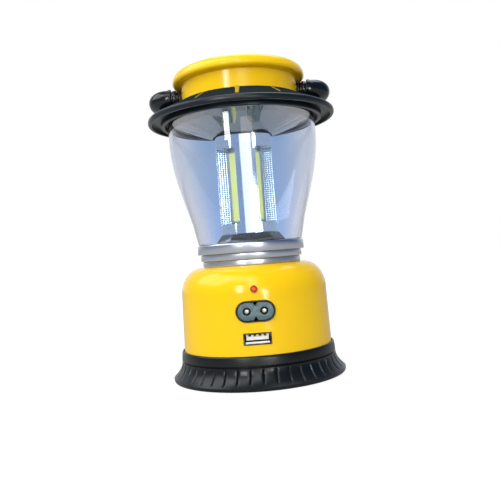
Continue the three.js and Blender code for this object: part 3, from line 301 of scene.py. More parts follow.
def on_circle(degrees, radius):
    """What was made at the middle then stands on a circle round it, at an azimuth."""
    angle = math.radians(degrees)
    return Matrix.Translation((radius * math.sin(angle), -radius * math.cos(angle), 0))


def facing_front(piece, front, depth, z):
    """Stands a prism that was drawn in XY up on edge, so that it faces -Y."""
    return place(piece, Matrix.Translation((0, front + depth, z)) @ Matrix.Rotation(QUARTER, 4, "X"))


# %% [markdown]
# Round holes and the cross slots of screws come up again and again, so each has a helper. The others dress
# a piece: one lays two finishes on it by place, and one gives it its material and its CAD body and hides the
# CAD nodes that it stands for. The last one makes a small turned part from start to end.

# %% Holes, slots and the last step of a piece
def drill(radius, low, high, where, around=40):
    """A round cutting tool, from one height to another, put where the hole goes."""
    return place(spin("cut", [(0, low), (radius, low), (radius, high), (0, high)], around=around), where)


def cross_slot(reach, half, low, high):
    """Two crossed bars that cut the slot of a screw head."""
    return [block("slot", (-x, -y, low), (x, y, high)) for x, y in ((reach, half), (half, reach))]


def two_finishes(piece, first, second, is_second):
    """Lays two finishes on one piece; is_second(x, y, z), in millimetres, says where the second goes."""
    for material in (first, second):
        piece.data.materials.append(material)
    for face in piece.data.polygons:
        face.material_index = 1 if is_second(*(face.center / MM)) else 0


def piece_done(piece, material, body, slot, *nodes):
    """Gives a piece its material and its body, and hides the CAD nodes that it stands for. The slot is not
    used.
    """
    if material:
        piece.data.materials.clear()
        piece.data.materials.append(material)
    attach(piece, body)
    if nodes:
        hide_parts(*nodes)
    print(piece.name, "faces", len(piece.data.polygons))


def turned_part(name, profile, around, where, *rest, closed=False):
    """Spins a softened profile, puts it in its place and does the last step."""
    piece = spin(name, soften(profile, closed), around, closed)
    piece_done(place(piece, where), *rest)


# %% [markdown]
# ## Effects that several finishes share
#
# Moulded plastic is never one flat value. It has a fine grain, faint marks of handling that change how
# sharp a reflection is, paler edges where it was rubbed, and dust on what faces up. Each effect is a
# node group with its own inputs, built once. A group gives only masks and values, and the shader that
# uses them stays in the material. These helpers keep the building of a group short.

# %% Helpers for nodes
NODE_STEP, NODES_IN_A_ROW = (220, 320), 6


def node(tree, kind, **settings):
    """A new node, laid out in rows in the order of making."""
    row, column = divmod(len(tree.nodes), NODES_IN_A_ROW)
    made = tree.nodes.new(kind)
    made.location = (NODE_STEP[0] * column, -NODE_STEP[1] * row)
    for key, value in settings.items():
        setattr(made, key, value)
    return made


def feed(tree, value, socket):
    """An output is linked to the socket, and a plain value is set on it."""
    if isinstance(value, bpy.types.NodeSocket):
        tree.links.new(value, socket)
    else:
        socket.default_value = value


def new_group(name, inputs, outputs):
    """A shader node group: its tree, what it is given, and the sockets for its results."""
    tree = bpy.data.node_groups.new(name, "ShaderNodeTree")
    for key, value in inputs.items():
        socket = tree.interface.new_socket(name=key, in_out="INPUT", socket_type="NodeSocketFloat")
        socket.default_value = value
    for key in outputs:
        tree.interface.new_socket(name=key, in_out="OUTPUT", socket_type="NodeSocketFloat")
    return tree, node(tree, "NodeGroupInput").outputs, node(tree, "NodeGroupOutput").inputs


def noise(tree, vector, scale, detail, roughness):
    made = node(tree, "ShaderNodeTexNoise")
    for key, value in (("Vector", vector), ("Scale", scale), ("Detail", detail), ("Roughness", roughness)):
        feed(tree, value, made.inputs[key])
    return made.outputs["Fac"]


def remap(tree, value, low, high, to_low=0.0, to_high=1.0):
    made = node(tree, "ShaderNodeMapRange", clamp=True)
    for socket, number in zip(made.inputs, (value, low, high, to_low, to_high)):
        feed(tree, number, socket)
    return made.outputs["Result"]


def maths(tree, operation, first, second=0.0):
    made = node(tree, "ShaderNodeMath", operation=operation)
    for socket, value in zip(made.inputs, (first, second)):
        feed(tree, value, socket)
    return made.outputs["Value"]


def axes_of(tree, vector):
    """A vector's parts, as outputs X, Y and Z."""
    made = node(tree, "ShaderNodeSeparateXYZ")
    tree.links.new(vector, made.inputs[0])
    return made.outputs


def object_place(tree):
    """Where a point is on its own object, in metres."""
    return node(tree, "ShaderNodeTexCoord").outputs["Object"]


print("nodes are laid out in rows of", NODES_IN_A_ROW)

# %% [markdown]
# A mould leaves a fine grain on plastic, over a broad swell where the wall cooled unevenly. A scanned
# texture could show both, but two scales of noise do it without a picture and never repeat. The broad one
# is given out too, because the colour of the plastic drifts with it.

# %% Moulding grain
FINE_GRAIN, BROAD_GRAIN = 900.0, 28.0

grain_group, given, result = new_group("moulding_grain", {"Scale": FINE_GRAIN, "Unevenness": 1.0},
                                       ["Height", "Tone"])
where = object_place(grain_group)
fine = noise(grain_group, where, given["Scale"], detail=4.0, roughness=0.6)
broad = noise(grain_group, where, BROAD_GRAIN, detail=3.0, roughness=0.5)
swell = maths(grain_group, "MULTIPLY", broad, given["Unevenness"])
grain_group.links.new(maths(grain_group, "ADD", fine, swell), result["Height"])
grain_group.links.new(broad, result["Tone"])
print("group", grain_group.name)

# %% [markdown]
# Hands and tables rub the edges that stick out. Painting them by hand would take long and would have to be
# done again after each change of shape. Pointiness is high on such edges, so it finds them by itself, and
# noise breaks the line up, as rubbing does.

# %% Edge wear
WEAR_RANGE = 0.05

wear_group, given, result = new_group("edge_wear", {"Reach": 0.54, "Amount": 1.0}, ["Mask"])
curve = node(wear_group, "ShaderNodeNewGeometry").outputs["Pointiness"]
patches = noise(wear_group, object_place(wear_group), 260.0, detail=4.0, roughness=0.6)
broken = remap(wear_group, patches, 0.42, 0.62)
edge = remap(wear_group, curve, given["Reach"], maths(wear_group, "ADD", given["Reach"], WEAR_RANGE))
worn = maths(wear_group, "MULTIPLY", edge, broken)
wear_group.links.new(maths(wear_group, "MULTIPLY", worn, given["Amount"]), result["Mask"])
print("group", wear_group.name)

# %% [markdown]
# Dust settles on faces that look up, in patches, and hardly at all on walls. The height part of the
# surface's normal says how much a face looks up, and it follows the shape when a size changes.

# %% Dust
dust_group, given, result = new_group("settled_dust", {"Amount": 0.3}, ["Mask"])
normal = node(dust_group, "ShaderNodeNewGeometry").outputs["Normal"]
up = remap(dust_group, axes_of(dust_group, normal)["Z"], 0.25, 0.95)
patches = noise(dust_group, object_place(dust_group), 160.0, detail=5.0, roughness=0.7)
mask = maths(dust_group, "MULTIPLY", up, remap(dust_group, patches, 0.38, 0.72))
dust_group.links.new(maths(dust_group, "MULTIPLY", mask, given["Amount"]), result["Mask"])
print("group", dust_group.name)

# %% [markdown]
# Wipes and fingertips leave no colour. They only change how sharp a reflection is, so this group moves the
# roughness between two values. The noise is squeezed in height, because a wipe runs round a lantern.

# %% Marks of handling
marks_group, given, result = new_group("handling_marks", {"Low": 0.2, "High": 0.3}, ["Roughness"])
stretch = node(marks_group, "ShaderNodeMapping")
stretch.inputs["Scale"].default_value = (1.0, 1.0, 2.6)
marks_group.links.new(object_place(marks_group), stretch.inputs["Vector"])
wipes = noise(marks_group, stretch.outputs["Vector"], 45.0, detail=6.0, roughness=0.7)
marks_group.links.new(remap(marks_group, wipes, 0.35, 0.7, given["Low"], given["High"]), result["Roughness"])
print("group", marks_group.name)

# %% [markdown]
# A turned ring carries fine lines that follow the height alone. A noise that is asked only at a height, and
# never at a place across, gives one value all the way round, which is just such a line.

# %% Turned lines
turned_group, given, result = new_group("turned_lines", {"Scale": 9000.0}, ["Height"])
height = axes_of(turned_group, object_place(turned_group))["Z"]
on_axis = node(turned_group, "ShaderNodeCombineXYZ")
turned_group.links.new(maths(turned_group, "MULTIPLY", height, given["Scale"]), on_axis.inputs["Z"])
lines = noise(turned_group, on_axis.outputs[0], 1.0, detail=2.0, roughness=0.6)
turned_group.links.new(lines, result["Height"])
print("group", turned_group.name)

# %% [markdown]
# The chips in a light strip and the flashes of a flute's facets repeat at a fixed pitch in height. A sine of
# the height does that, and Sharp says how narrow its bright part is. Both finishes take it from this group,
# and on the flutes its bands are painted reflections.

# %% Bands
bands_group, given, result = new_group("height_bands", {"Pitch": 1.0, "Sharp": 0.0}, ["Mask"])
height = axes_of(bands_group, object_place(bands_group))["Z"]
per_pitch = maths(bands_group, "DIVIDE", 2 * math.pi / MM, given["Pitch"])
wave = maths(bands_group, "SINE", maths(bands_group, "MULTIPLY", height, per_pitch))
bands_group.links.new(remap(bands_group, wave, given["Sharp"], 1.0), result["Mask"])
print("node groups", sorted(g.name for g in bpy.data.node_groups))

# %% [markdown]
# ## Finishes
#
# `finish` makes one material: a Principled BSDF whose plain values sit on its own sockets, and the groups
# where the finish has them. Base Color goes from the clean colour to a worn one at the edges and to dust on
# top. Roughness comes from the handling marks. The grain feeds a Bump node, which bends the light a little.

# %% A finish
DUST_COLOUR = (190, 182, 170)
BUMP_DEPTH = 0.02 * MM
COAT_ROUGHNESS = 0.06


def srgb(red, green, blue):
    """A colour as a screen shows it, 0 to 255, turned into the linear values that a shader wants."""
    def linear(value):
        value /= 255
        return value / 12.92 if value <= 0.04045 else ((value + 0.055) / 1.055) ** 2.4
    return (linear(red), linear(green), linear(blue), 1.0)


def set_inputs(made, values):
    """Plain values by the name of the socket, with _ for a space."""
    for key, value in values.items():
        made.inputs[key.replace("_", " ")].default_value = value


def use_group(tree, group, **values):
    made = node(tree, "ShaderNodeGroup", node_tree=group)
    set_inputs(made, values)
    return made.outputs


def mix_colour(tree, mask, first, second):
    made = node(tree, "ShaderNodeMix", data_type="RGBA")
    for key, value in (("Factor", mask), ("A", first), ("B", second)):
        feed(tree, value, made.inputs[key])
    return made.outputs["Result"]


def bump_from(tree, height, strength):
    made = node(tree, "ShaderNodeBump")
    set_inputs(made, {"Strength": strength, "Distance": BUMP_DEPTH})
    tree.links.new(height, made.inputs["Height"])
    tree.links.new(made.outputs["Normal"], tree.nodes["Principled BSDF"].inputs["Normal"])


def new_material(name, **values):
    material = bpy.data.materials.new(name)
    material.use_nodes = True
    shader = material.node_tree.nodes["Principled BSDF"]
    set_inputs(shader, values)
    return material, material.node_tree, shader


def finish(name, colour, rough, tone, grain=0.2, grain_scale=FINE_GRAIN, metal=0.0, worn=None, wear=0.0,
           dust=0.0, coat=0.0, turned=False, **values):
    """One finish: its clean colour, how rough it is, and how much it has of each effect."""
    values.update(Metallic=metal, Coat_Weight=coat, Coat_Roughness=COAT_ROUGHNESS)
    material, tree, shader = new_material(name, **values)
    clean = srgb(*colour)
    darker = tuple(c * (1 - tone) for c in clean[:3]) + (1.0,)
    grains = use_group(tree, grain_group, Scale=grain_scale)
    base = mix_colour(tree, grains["Tone"], darker, clean)
    if worn:
        base = mix_colour(tree, use_group(tree, wear_group, Amount=wear)["Mask"], base, srgb(*worn))
    if dust:
        base = mix_colour(tree, use_group(tree, dust_group, Amount=dust)["Mask"], base, srgb(*DUST_COLOUR))
    tree.links.new(base, shader.inputs["Base Color"])
    marks = use_group(tree, marks_group, Low=rough[0], High=rough[1])
    tree.links.new(marks["Roughness"], shader.inputs["Roughness"])
    height = grains["Height"]
    if turned:
        height = maths(tree, "ADD", height, use_group(tree, turned_group)["Height"])
    bump_from(tree, height, grain)
    return material


print("a middle grey is", round(srgb(128, 128, 128)[0], 3), "for a shader")

# %% [markdown]
# The yellow and the black are glossy moulded plastic, the black nearly blue-black: its blue is partly its own
# and partly a painted reflection of bluish surroundings. The foot and the collar are less glossy, and their
# grain is finer. The blacks could share one finish, but the photo shows how differently they take the light,
# so each gets its own roughness and edge colour.

# %% Yellow and black plastic
SATIN_GRAIN = 1500.0

yellow = finish("yellow_gloss", (252, 205, 2), (0.13, 0.19), worn=(255, 224, 90), wear=0.2, dust=0.02,
                grain=0.05, tone=0.03, Specular_IOR_Level=0.42)
black = finish("black_gloss", (8, 15, 18), (0.12, 0.2), worn=(40, 50, 56), wear=0.3, dust=0.02, grain=0.06,
               tone=0.2)
black_satin = finish("black_satin", (13, 19, 21), (0.3, 0.42), worn=(54, 60, 64), wear=0.4, dust=0.04,
                     grain=0.3, grain_scale=SATIN_GRAIN, tone=0.2)
foot_black = finish("foot_black", (7, 15, 17), (0.26, 0.36), worn=(44, 54, 58), wear=0.35, dust=0.02,
                    grain=0.15, grain_scale=SATIN_GRAIN, tone=0.2, Specular_IOR_Level=0.42)
rim_black = finish("rim_black", (14, 28, 36), (0.28, 0.38), worn=(70, 82, 90), wear=0.5, dust=0.02,
                   grain=0.15, grain_scale=SATIN_GRAIN, tone=0.2, Specular_IOR_Level=0.4)
# The cone's lighter blue-grey, with no specular reflection, is a painted sheen on the collar's black plastic.
cone_black_painted_sheen = finish("cone_black_painted_sheen", (38, 47, 51), (0.4, 0.5), worn=(56, 66, 70), wear=0.2,
                    grain_scale=SATIN_GRAIN, tone=0.25, Specular_IOR_Level=0.0)
print("finishes", len(bpy.data.materials))

# %% [markdown]
# The silver ring is metallised plastic with a satin finish, and the mirror parts are metallised too, but
# polished. A glossy grey plastic would look painted, but a metal shows only tinted reflections, so Metallic
# is 1 and the colour is the tint. Only the pins of the inlet are a little less metallic, which keeps them
# pale in their dark recess. The plinth and the bell are the same mirror plastic as the column, but get
# darker copies of its finish: painted shade, and on the bell a warm painted reflection.

# %% Silver, mirrors and metals
silver = finish("satin_silver", (206, 212, 222), (0.27, 0.34), metal=1.0, worn=(238, 240, 244), wear=0.4,
                dust=0.02, grain=0.1, tone=0.05, turned=True)
mirror = finish("mirror_plastic", (226, 230, 235), (0.05, 0.1), metal=1.0, grain=0.04, grain_scale=240.0,
                tone=0.04)
# Darker copies of the mirror finish: painted shade on the plinth, and on the bell a warm painted reflection
# too.
plinth_mirror_painted_shade = finish("plinth_mirror_painted_shade", (128, 134, 136), (0.08, 0.16), metal=1.0, grain_scale=160.0, tone=0.3)
bell_mirror_painted_shade_and_reflection = finish("bell_mirror_painted_shade_and_reflection", (194, 190, 182), (0.06, 0.13), metal=1.0, grain=0.25, grain_scale=110.0,
                     tone=0.12)
steel = finish("zinc_steel", (176, 179, 183), (0.24, 0.42), metal=1.0, worn=(220, 220, 218), wear=0.6,
               dust=0.03, tone=0.12)
dark_steel = finish("socket_steel", (50, 47, 38), (0.3, 0.45), metal=1.0, worn=(190, 186, 176), wear=0.5,
                    tone=0.15)
nickel = finish("nickel_pin", (240, 238, 228), (0.14, 0.24), metal=0.6, grain=0.1, tone=0.06)
brass = finish("contact_brass", (214, 176, 92), (0.2, 0.34), metal=1.0, tone=0.12)
print("finishes", len(bpy.data.materials))

# %% [markdown]
# The small parts differ as real ones do: white plastic that is a little rough, acetal gears with a warm
# tone, a green circuit board, and the shiny sleeves of the cells. The socket's floor is coloured a light
# slate grey, as painted light, because little light would reach it in its deep well. The red lens and the
# solar panel have a clear layer on top, so those finishes have a coat instead of a second, clear mesh.

# %% Small parts, lens and panel
# The socket's slate grey is painted light: a lighter colour for a floor that lies deep in shade.
slate_painted_light = finish("inlet_slate_painted_light", (92, 117, 120), (0.3, 0.42), worn=(126, 146, 148), wear=0.4,
               grain_scale=SATIN_GRAIN, tone=0.15)
white = finish("white_plastic", (240, 240, 236), (0.34, 0.46), dust=0.02, tone=0.05)
gear_white = finish("gear_acetal", (232, 228, 214), (0.36, 0.5), dust=0.05, grain=0.25, tone=0.08)
board_green = finish("board_green", (32, 92, 56), (0.3, 0.45), dust=0.1, grain=0.4, grain_scale=600.0,
                     tone=0.25)
cell_sleeve = finish("battery_sleeve", (42, 108, 176), (0.22, 0.4), dust=0.05, grain=0.3, tone=0.12)
red_lens = finish("red_lens", (240, 98, 24), (0.1, 0.16), grain=0.05, tone=0.1, coat=0.4)
# The flange's darker red is painted shade round the lens.
red_flange_painted_shade = finish("red_flange_painted_shade", (206, 50, 4), (0.12, 0.2), grain=0.05, tone=0.1)
solar_blue = finish("solar_cell", (22, 30, 66), (0.12, 0.2), dust=0.12, grain=0.25, grain_scale=300.0,
                    tone=0.35, coat=0.8)
panel_black = finish("panel_frame", (18, 20, 26), (0.12, 0.2), dust=0.15, grain=0.1, tone=0.15, coat=0.8)
# This gold is painted light: painted shade on the index mark, which is the head's yellow plastic, and a
# painted highlight on the collar's moulded lines.
gold_painted_shade_and_highlight = finish("gold_line_painted_shade_and_highlight", (182, 150, 38), (0.3, 0.4), tone=0.1)
print("finishes", len(bpy.data.materials))

# %% [markdown]
# A strip of light chips lies under one long bead of yellow silicone. The chips show through it as faint
# darker dots in a row. The flutes beside it are cut into facets that flash one above the other. Modelling
# each would take thousands of faces for marks of half a millimetre, so the flashes are painted reflections:
# bright and dark bands in the colour.

# %% Banded finishes
CHIP_PITCH, FACET_PITCH = 1.3, 1.15


def banded(name, colour, second, pitch, sharp, rough, **values):
    """A finish whose colour changes in bands along Z."""
    material = finish(name, colour, rough, tone=0.08, grain=0.3, **values)
    tree = material.node_tree
    base = tree.nodes["Principled BSDF"].inputs["Base Color"]
    bands = use_group(tree, bands_group, Pitch=pitch, Sharp=sharp)
    tree.links.new(mix_colour(tree, bands["Mask"], base.links[0].from_socket, srgb(*second)), base)
    return material


# The bead's emission is painted light: the strip is not lit, and the glow stands for light from the niche.
phosphor = banded("phosphor_bead_painted_glow", (248, 250, 160), (240, 234, 124), CHIP_PITCH, 0.2, (0.3, 0.4),
                  Emission_Color=srgb(250, 255, 150), Emission_Strength=0.5)
# The flutes' bright and dark bands are painted reflections of their facets.
fluted_mirror_painted_flashes = banded("fluted_mirror_painted_flashes", (238, 246, 248), (112, 138, 152), FACET_PITCH, -0.3, (0.1, 0.18),
                       metal=1.0)
print("finishes", len(bpy.data.materials))

# %% [markdown]
# The clear jar is blue-tinted plastic. Seen through its middle it is blue, and towards its outline, where
# the wall is seen slantwise, it turns pale and lavender: a painted reflection of the pale surroundings.
# Layer Weight says how slantwise the wall is seen, and a colour ramp turns that into the tint and the painted
# reflection. The tint is kept light, because a ray meets two walls.

# %% Clear jar
MIDDLE_TINT, MIDDLE_SLANT = (0.74, 0.827, 0.949, 1), 0.12
# The outline colour is a painted reflection, not a tint of the plastic.
OUTLINE_PAINTED_SHEEN, OUTLINE_SLANT = (0.99, 0.97, 0.985, 1), 0.36

jar_clear, tree, shader = new_material("jar_clear", Roughness=0.02, IOR=1.46, Transmission_Weight=1.0,
                                       Metallic=0.0)
slant = node(tree, "ShaderNodeLayerWeight")
slant.inputs["Blend"].default_value = 0.5
tint_and_sheen = node(tree, "ShaderNodeValToRGB")
stops = ((MIDDLE_SLANT, MIDDLE_TINT), (OUTLINE_SLANT, OUTLINE_PAINTED_SHEEN))
for element, (position, colour) in zip(tint_and_sheen.color_ramp.elements, stops):
    element.position = position
    element.color = colour
tree.links.new(slant.outputs["Facing"], tint_and_sheen.inputs["Fac"])
tree.links.new(tint_and_sheen.outputs["Color"], shader.inputs["Base Color"])
bump_from(tree, use_group(tree, grain_group, Scale=120.0)["Height"], 0.04)
print("jar tint", MIDDLE_TINT[:3])

# %% [markdown]
# ## The foot
#
# The black foot is a cup with a flared skirt. Forty-two short grooves give it grip. Modelling them as cuts
# would need as many tools, so the skirt is spun with more columns near each groove, and `bend` pulls the
# surface in where a groove is. The groove fades out at both ends.

# %% The foot's skirt
FOOT_RADIUS = 46.9
BAND_RADIUS = 42.0
FLARE_LOW, FLARE_TOP, FLARE_STEPS = 1.8, 10.4, 24
GRIP_COUNT = 42
GRIP_START = math.radians(2.2)
GRIP_PITCH = 2 * math.pi / GRIP_COUNT
GRIP_HALF = math.radians(0.72)
GRIP_DEPTH = 0.7
GRIP_LOW, GRIP_HIGH = (2.4, 3.6), (9.2, 10.2)
GRIP_COLUMNS = (-0.8, -0.7, -0.5, -0.3, -0.15, 0, 0.15, 0.3, 0.5, 0.7, 0.8, 2.0, 3.4, 4.9, 6.4)


def ramp(value, low, high):
    """0 below low, 1 above high, and smooth between."""
    t = min(max((value - low) / (high - low), 0), 1)
    return t * t * (3 - 2 * t)


def flare(z):
    return BAND_RADIUS + (FOOT_RADIUS - BAND_RADIUS) * (1 - (z - FLARE_LOW) / (FLARE_TOP - FLARE_LOW)) ** 2


def grooved(radius, z, angle):
    if not FLARE_LOW < z < FLARE_TOP or radius < BAND_RADIUS - 1:
        return radius
    off = (angle - GRIP_START + GRIP_PITCH / 2) % GRIP_PITCH - GRIP_PITCH / 2
    mouth = max(0, 1 - abs(off) / GRIP_HALF) ** 0.8
    return radius - GRIP_DEPTH * mouth * ramp(z, *GRIP_LOW) * (1 - ramp(z, *GRIP_HIGH))


skirt_heights = [FLARE_LOW + (FLARE_TOP - FLARE_LOW) * i / FLARE_STEPS for i in range(FLARE_STEPS + 1)]
skirt = [(flare(z), z) for z in skirt_heights]
columns = [GRIP_START + GRIP_PITCH * k + math.radians(step)
           for k in range(GRIP_COUNT) for step in GRIP_COLUMNS]
print("columns round the skirt", len(columns))

# %% [markdown]
# Below, the foot stands on a pad and a ring. Above, a band with a thin parting line holds the yellow
# housing, and inside lies the floor for the cells. One spun profile makes all of it, and only the wells for
# the screws are cut, because they don't lie on the axis.

# %% Foot
PAD_RADIUS, RING_INSIDE, SOLE_GAP = 14, 37, 1.6
FLOOR_TOP, LEDGE, BAND_TOP = 4.2, 11.4, 16.2
SCREW_AZIMUTHS, SCREW_CIRCLE = (45, 135, 225, 315), 34.2
WELL_RADIUS, WELL_DEPTH = 3.3, 2.8

foot_profile = soften([
    (0, 0), (PAD_RADIUS, 0, 0.5), (PAD_RADIUS, SOLE_GAP), (RING_INSIDE, SOLE_GAP), (RING_INSIDE, 0, 0.5),
    (46.5, 0, 0.6), (FOOT_RADIUS, 1.0, 0.8)])
foot_profile += skirt
foot_profile += soften([
    skirt[-1], (41.15, 10.8, 0.15), (41.15, 11.0, 0.15), (BAND_RADIUS, 11.35, 0.3), (41.6, 15.6, 0.6),
    (41.0, BAND_TOP, 0.4), (40.7, BAND_TOP, 0.15), (40.7, LEDGE), (38.4, LEDGE), (38.4, FLOOR_TOP),
    (0, FLOOR_TOP)])
foot = spin("foot", foot_profile, bend=grooved, angles=columns, crisp=45)
wells = [drill(WELL_RADIUS, -1, WELL_DEPTH, on_circle(azimuth, SCREW_CIRCLE)) for azimuth in SCREW_AZIMUTHS]
combine(foot, wells, crisp=45)
piece_done(foot, foot_black, "lantern", "black_plastic", "base_cup")

# %% [markdown]
# The four screws are seen only from below: pan heads with a cross slot, sunk in their wells. A thread would
# never show, so head and shank are one plain spun profile, and two crossed bars cut the slot.

# %% Screws
SCREW_PROFILE = [(0, 1.3), (2.4, 1.35, 0.5), (3, 1.9, 0.3), (3, 2.5), (1.4, 2.5), (1.4, 12.5), (0, 12.5)]

for index, azimuth in enumerate(SCREW_AZIMUTHS, 1):
    screw = spin(f"foot_screw_{index}", soften(SCREW_PROFILE), around=40)
    combine(screw, cross_slot(1.7, 0.3, 0.9, 2.0))
    place(screw, on_circle(azimuth, SCREW_CIRCLE))
    piece_done(screw, steel, "lantern", "steel", f"base_screw_{index}")

# %% [markdown]
# ## The yellow housing
#
# The housing is one thin shell. Its wall leans in a little and then rolls over in a quarter of an ellipse to
# the silver ring. It could be a solid with the holes painted on, but the sockets, the charging light, the
# button and the crank sit in real cut-outs, so it is spun with its inner face too and has real thickness.

# %% Housing
HOUSING_LOW, HOUSING_TOP, HOUSING_WALL = 11.7, 60, 2.2
SHOULDER = (28.5, 46)
SHOULDER_OUTSIDE = (11.0, 14)
SHOULDER_INSIDE = (SHOULDER_OUTSIDE[0] - HOUSING_WALL, SHOULDER_OUTSIDE[1] - HOUSING_WALL)
HOUSING_EYE = 8

housing_profile = [(40.4, HOUSING_LOW), (40.3, 15), (40.1, 22), (39.9, 30), (39.7, 38)]
housing_profile += arc(SHOULDER, SHOULDER_OUTSIDE, 0, 90, 40)
housing_profile += [(HOUSING_EYE, HOUSING_TOP), (HOUSING_EYE, HOUSING_TOP - HOUSING_WALL)]
housing_profile += arc(SHOULDER, SHOULDER_INSIDE, 90, 0, 20)
housing_profile += [(38.2, HOUSING_LOW)]
housing = spin("housing_shell", housing_profile, around=256, closed=True)
print("housing wall", HOUSING_WALL, "mm")

# %% [markdown]
# The mains inlet is as wide as two circles side by side. Its opening in the housing has a plain outline with
# round ends, and the moulding in it has a notch in the middle of the top and bottom, which makes the figure
# eight. One function draws both. The other cut-outs are a box and three round holes.

# %% Cut-outs in the housing
INLET_Z, INLET_END, INLET_CENTRE, NOTCH_HALF = 37.7, 5.2, 4.55, 1.1
USB_Z, LAMP_Z = 24.3, 48.5
BUTTON_AZIMUTH, BUTTON_Z = 125, 39
CRANK_AZIMUTH, CRANK_Z = 180, 39.0
WALL_FROM, WALL_TO = 30, 43


def inlet_outline(margin, notch=0, steps=14):
    """Two round ends. A notch, where there is one, dips into the middle of the top and bottom."""
    radius = INLET_END + margin
    points = []
    for sign, start in ((1, -90), (-1, 90)):
        points += arc((sign * INLET_CENTRE, 0), radius, start, start + 180, steps)
        if notch:
            points += [(sign * NOTCH_HALF, sign * radius), (0, sign * (radius - notch))]
            points += [(-sign * NOTCH_HALF, sign * radius)]
    return points


def usb_box(name, half_width, half_height, front, back):
    return block(name, (-half_width, front, USB_Z - half_height), (half_width, back, USB_Z + half_height))


cuts = [facing_front(prism("cut", inlet_outline(0.12), 0, 20), -WALL_TO, 20, INLET_Z),
        usb_box("cut", 6.95, 2.95, -WALL_TO, -WALL_FROM),
        drill(1.8, WALL_FROM, WALL_TO, to_azimuth(0, LAMP_Z)),
        drill(5.65, WALL_FROM, WALL_TO, to_azimuth(BUTTON_AZIMUTH, BUTTON_Z), around=64),
        drill(4.9, WALL_FROM, WALL_TO, to_azimuth(CRANK_AZIMUTH, CRANK_Z), around=64)]
combine(housing, cuts)
piece_done(housing, yellow, "lantern", "yellow_plastic", "base_housing")

# %% [markdown]
# ## Sockets and the charging light
#
# The mains inlet has a black rim, and its floor is a moulding coloured slate grey as painted light, brighter
# than its deep well would let it look. The two pins stand in round wells. Painting all that on one block
# would lose the lines of shade, so the rim, the floor and the pins are separate meshes.

# %% Mains inlet
INLET_FRONT = -40.25
RIM_DEPTH, RIM_WIDTH, RIM_FLOOR = 12, 0.55, 3.2
CORE_DEPTH, CORE_SUNK = 10.9, 0.8
PIN_OFFSET, PIN_RADIUS, PIN_WELL = 4.3, 1.2, 2.0
KEY_SLOTS = (-1.5, -0.8, 0.8, 1.5)
SIDES = ((-1, "left"), (1, "right"))

rim = prism("inlet_rim", inlet_outline(0), 0, RIM_DEPTH)
combine(rim, [prism("cut", inlet_outline(-RIM_WIDTH), RIM_FLOOR, RIM_DEPTH + 2)], crisp=30)
bevel(rim, 0.12, 2)
facing_front(rim, INLET_FRONT, RIM_DEPTH, INLET_Z)
core = prism("inlet_core", inlet_outline(-0.8, notch=2.0), 0, CORE_DEPTH)
holes = [drill(PIN_WELL, 2, 12, Matrix.Translation((side * PIN_OFFSET, 0, 0))) for side, _ in SIDES]
holes += [block("cut", (x - 0.14, 2.2, 10.5), (x + 0.14, 5, 12)) for x in KEY_SLOTS]
combine(core, holes)
bevel(core, 0.18, 2)
facing_front(core, INLET_FRONT + CORE_SUNK, CORE_DEPTH, INLET_Z)
piece_done(rim, black_satin, "lantern", "black_plastic", "ac_inlet")
piece_done(core, slate_painted_light, "lantern", "black_plastic")
pin_profile = [(0, 28.3), (PIN_RADIUS, 28.3), (PIN_RADIUS, 38.1, 0.7), (0, 38.2)]
for side, word in SIDES:
    where = to_azimuth(0, INLET_Z) @ Matrix.Translation((side * PIN_OFFSET, 0, 0))
    turned_part("mains_pin_" + word, pin_profile, 40, where, nickel, "lantern", "steel", "ac_pin_" + word)

# %% [markdown]
# The USB socket is a folded steel shell round a white tongue. Behind its front edge lies a white block with
# five teeth, and between them the four contacts lie in shade. Such small parts are boxes with bevelled
# edges, because that is what pressed sheet and a moulded block are.

# %% USB socket
TOOTH_COUNT, TOOTH_PITCH, TOOTH_HALF = 5, 2.5, 0.58
BLADE_BACK = -29.6


def between(count):
    """The middles of things that stand side by side at the pitch of the teeth."""
    return [TOOTH_PITCH * (k - (count - 1) / 2) for k in range(count)]


usb_shell = usb_box("usb_shell_folded", 6.7, 2.7, -40.4, -28.3)
combine(usb_shell, [usb_box("cut", 6.3, 2.3, -42, -29.5)])
bevel(usb_shell, 0.12, 2)
piece_done(usb_shell, dark_steel, "lantern", "steel", "usb_shell")
parts = [block("tooth", (x - TOOTH_HALF, -39.6, USB_Z + 1.15), (x + TOOTH_HALF, BLADE_BACK, USB_Z + 2.2))
         for x in between(TOOTH_COUNT)]
parts.append(block("blade", (-5.5, -39.2, USB_Z - 0.55), (5.5, BLADE_BACK, USB_Z + 1.2)))
parts.append(block("sill", (-5.9, -39.9, USB_Z - 2.25), (5.9, -39.2, USB_Z - 1.3)))
for part in parts:
    bevel(part, 0.1, 2)
piece_done(join("usb_tongue_block", parts), white, "lantern", "white_plastic", "usb_tongue")
contacts = [block("contact", (x - 0.4, -36.8, USB_Z + 1.22), (x + 0.5, -29.8, USB_Z + 1.4))
            for x in between(TOOTH_COUNT - 1)]
piece_done(join("usb_contacts", contacts), brass, "lantern", "steel")

# %% [markdown]
# The charging light is a small round lamp with a domed lens in a flange whose darker red is painted shade.
# A single sphere would show, but it would have no shoulder, and the ring of shade round the lens is what
# makes it read as a lamp.

# %% Charging light
LENS_RADIUS, FLANGE_EYE, FLANGE_EDGE, LAMP_BACK = 1.1, 1.12, 1.65, 28.3

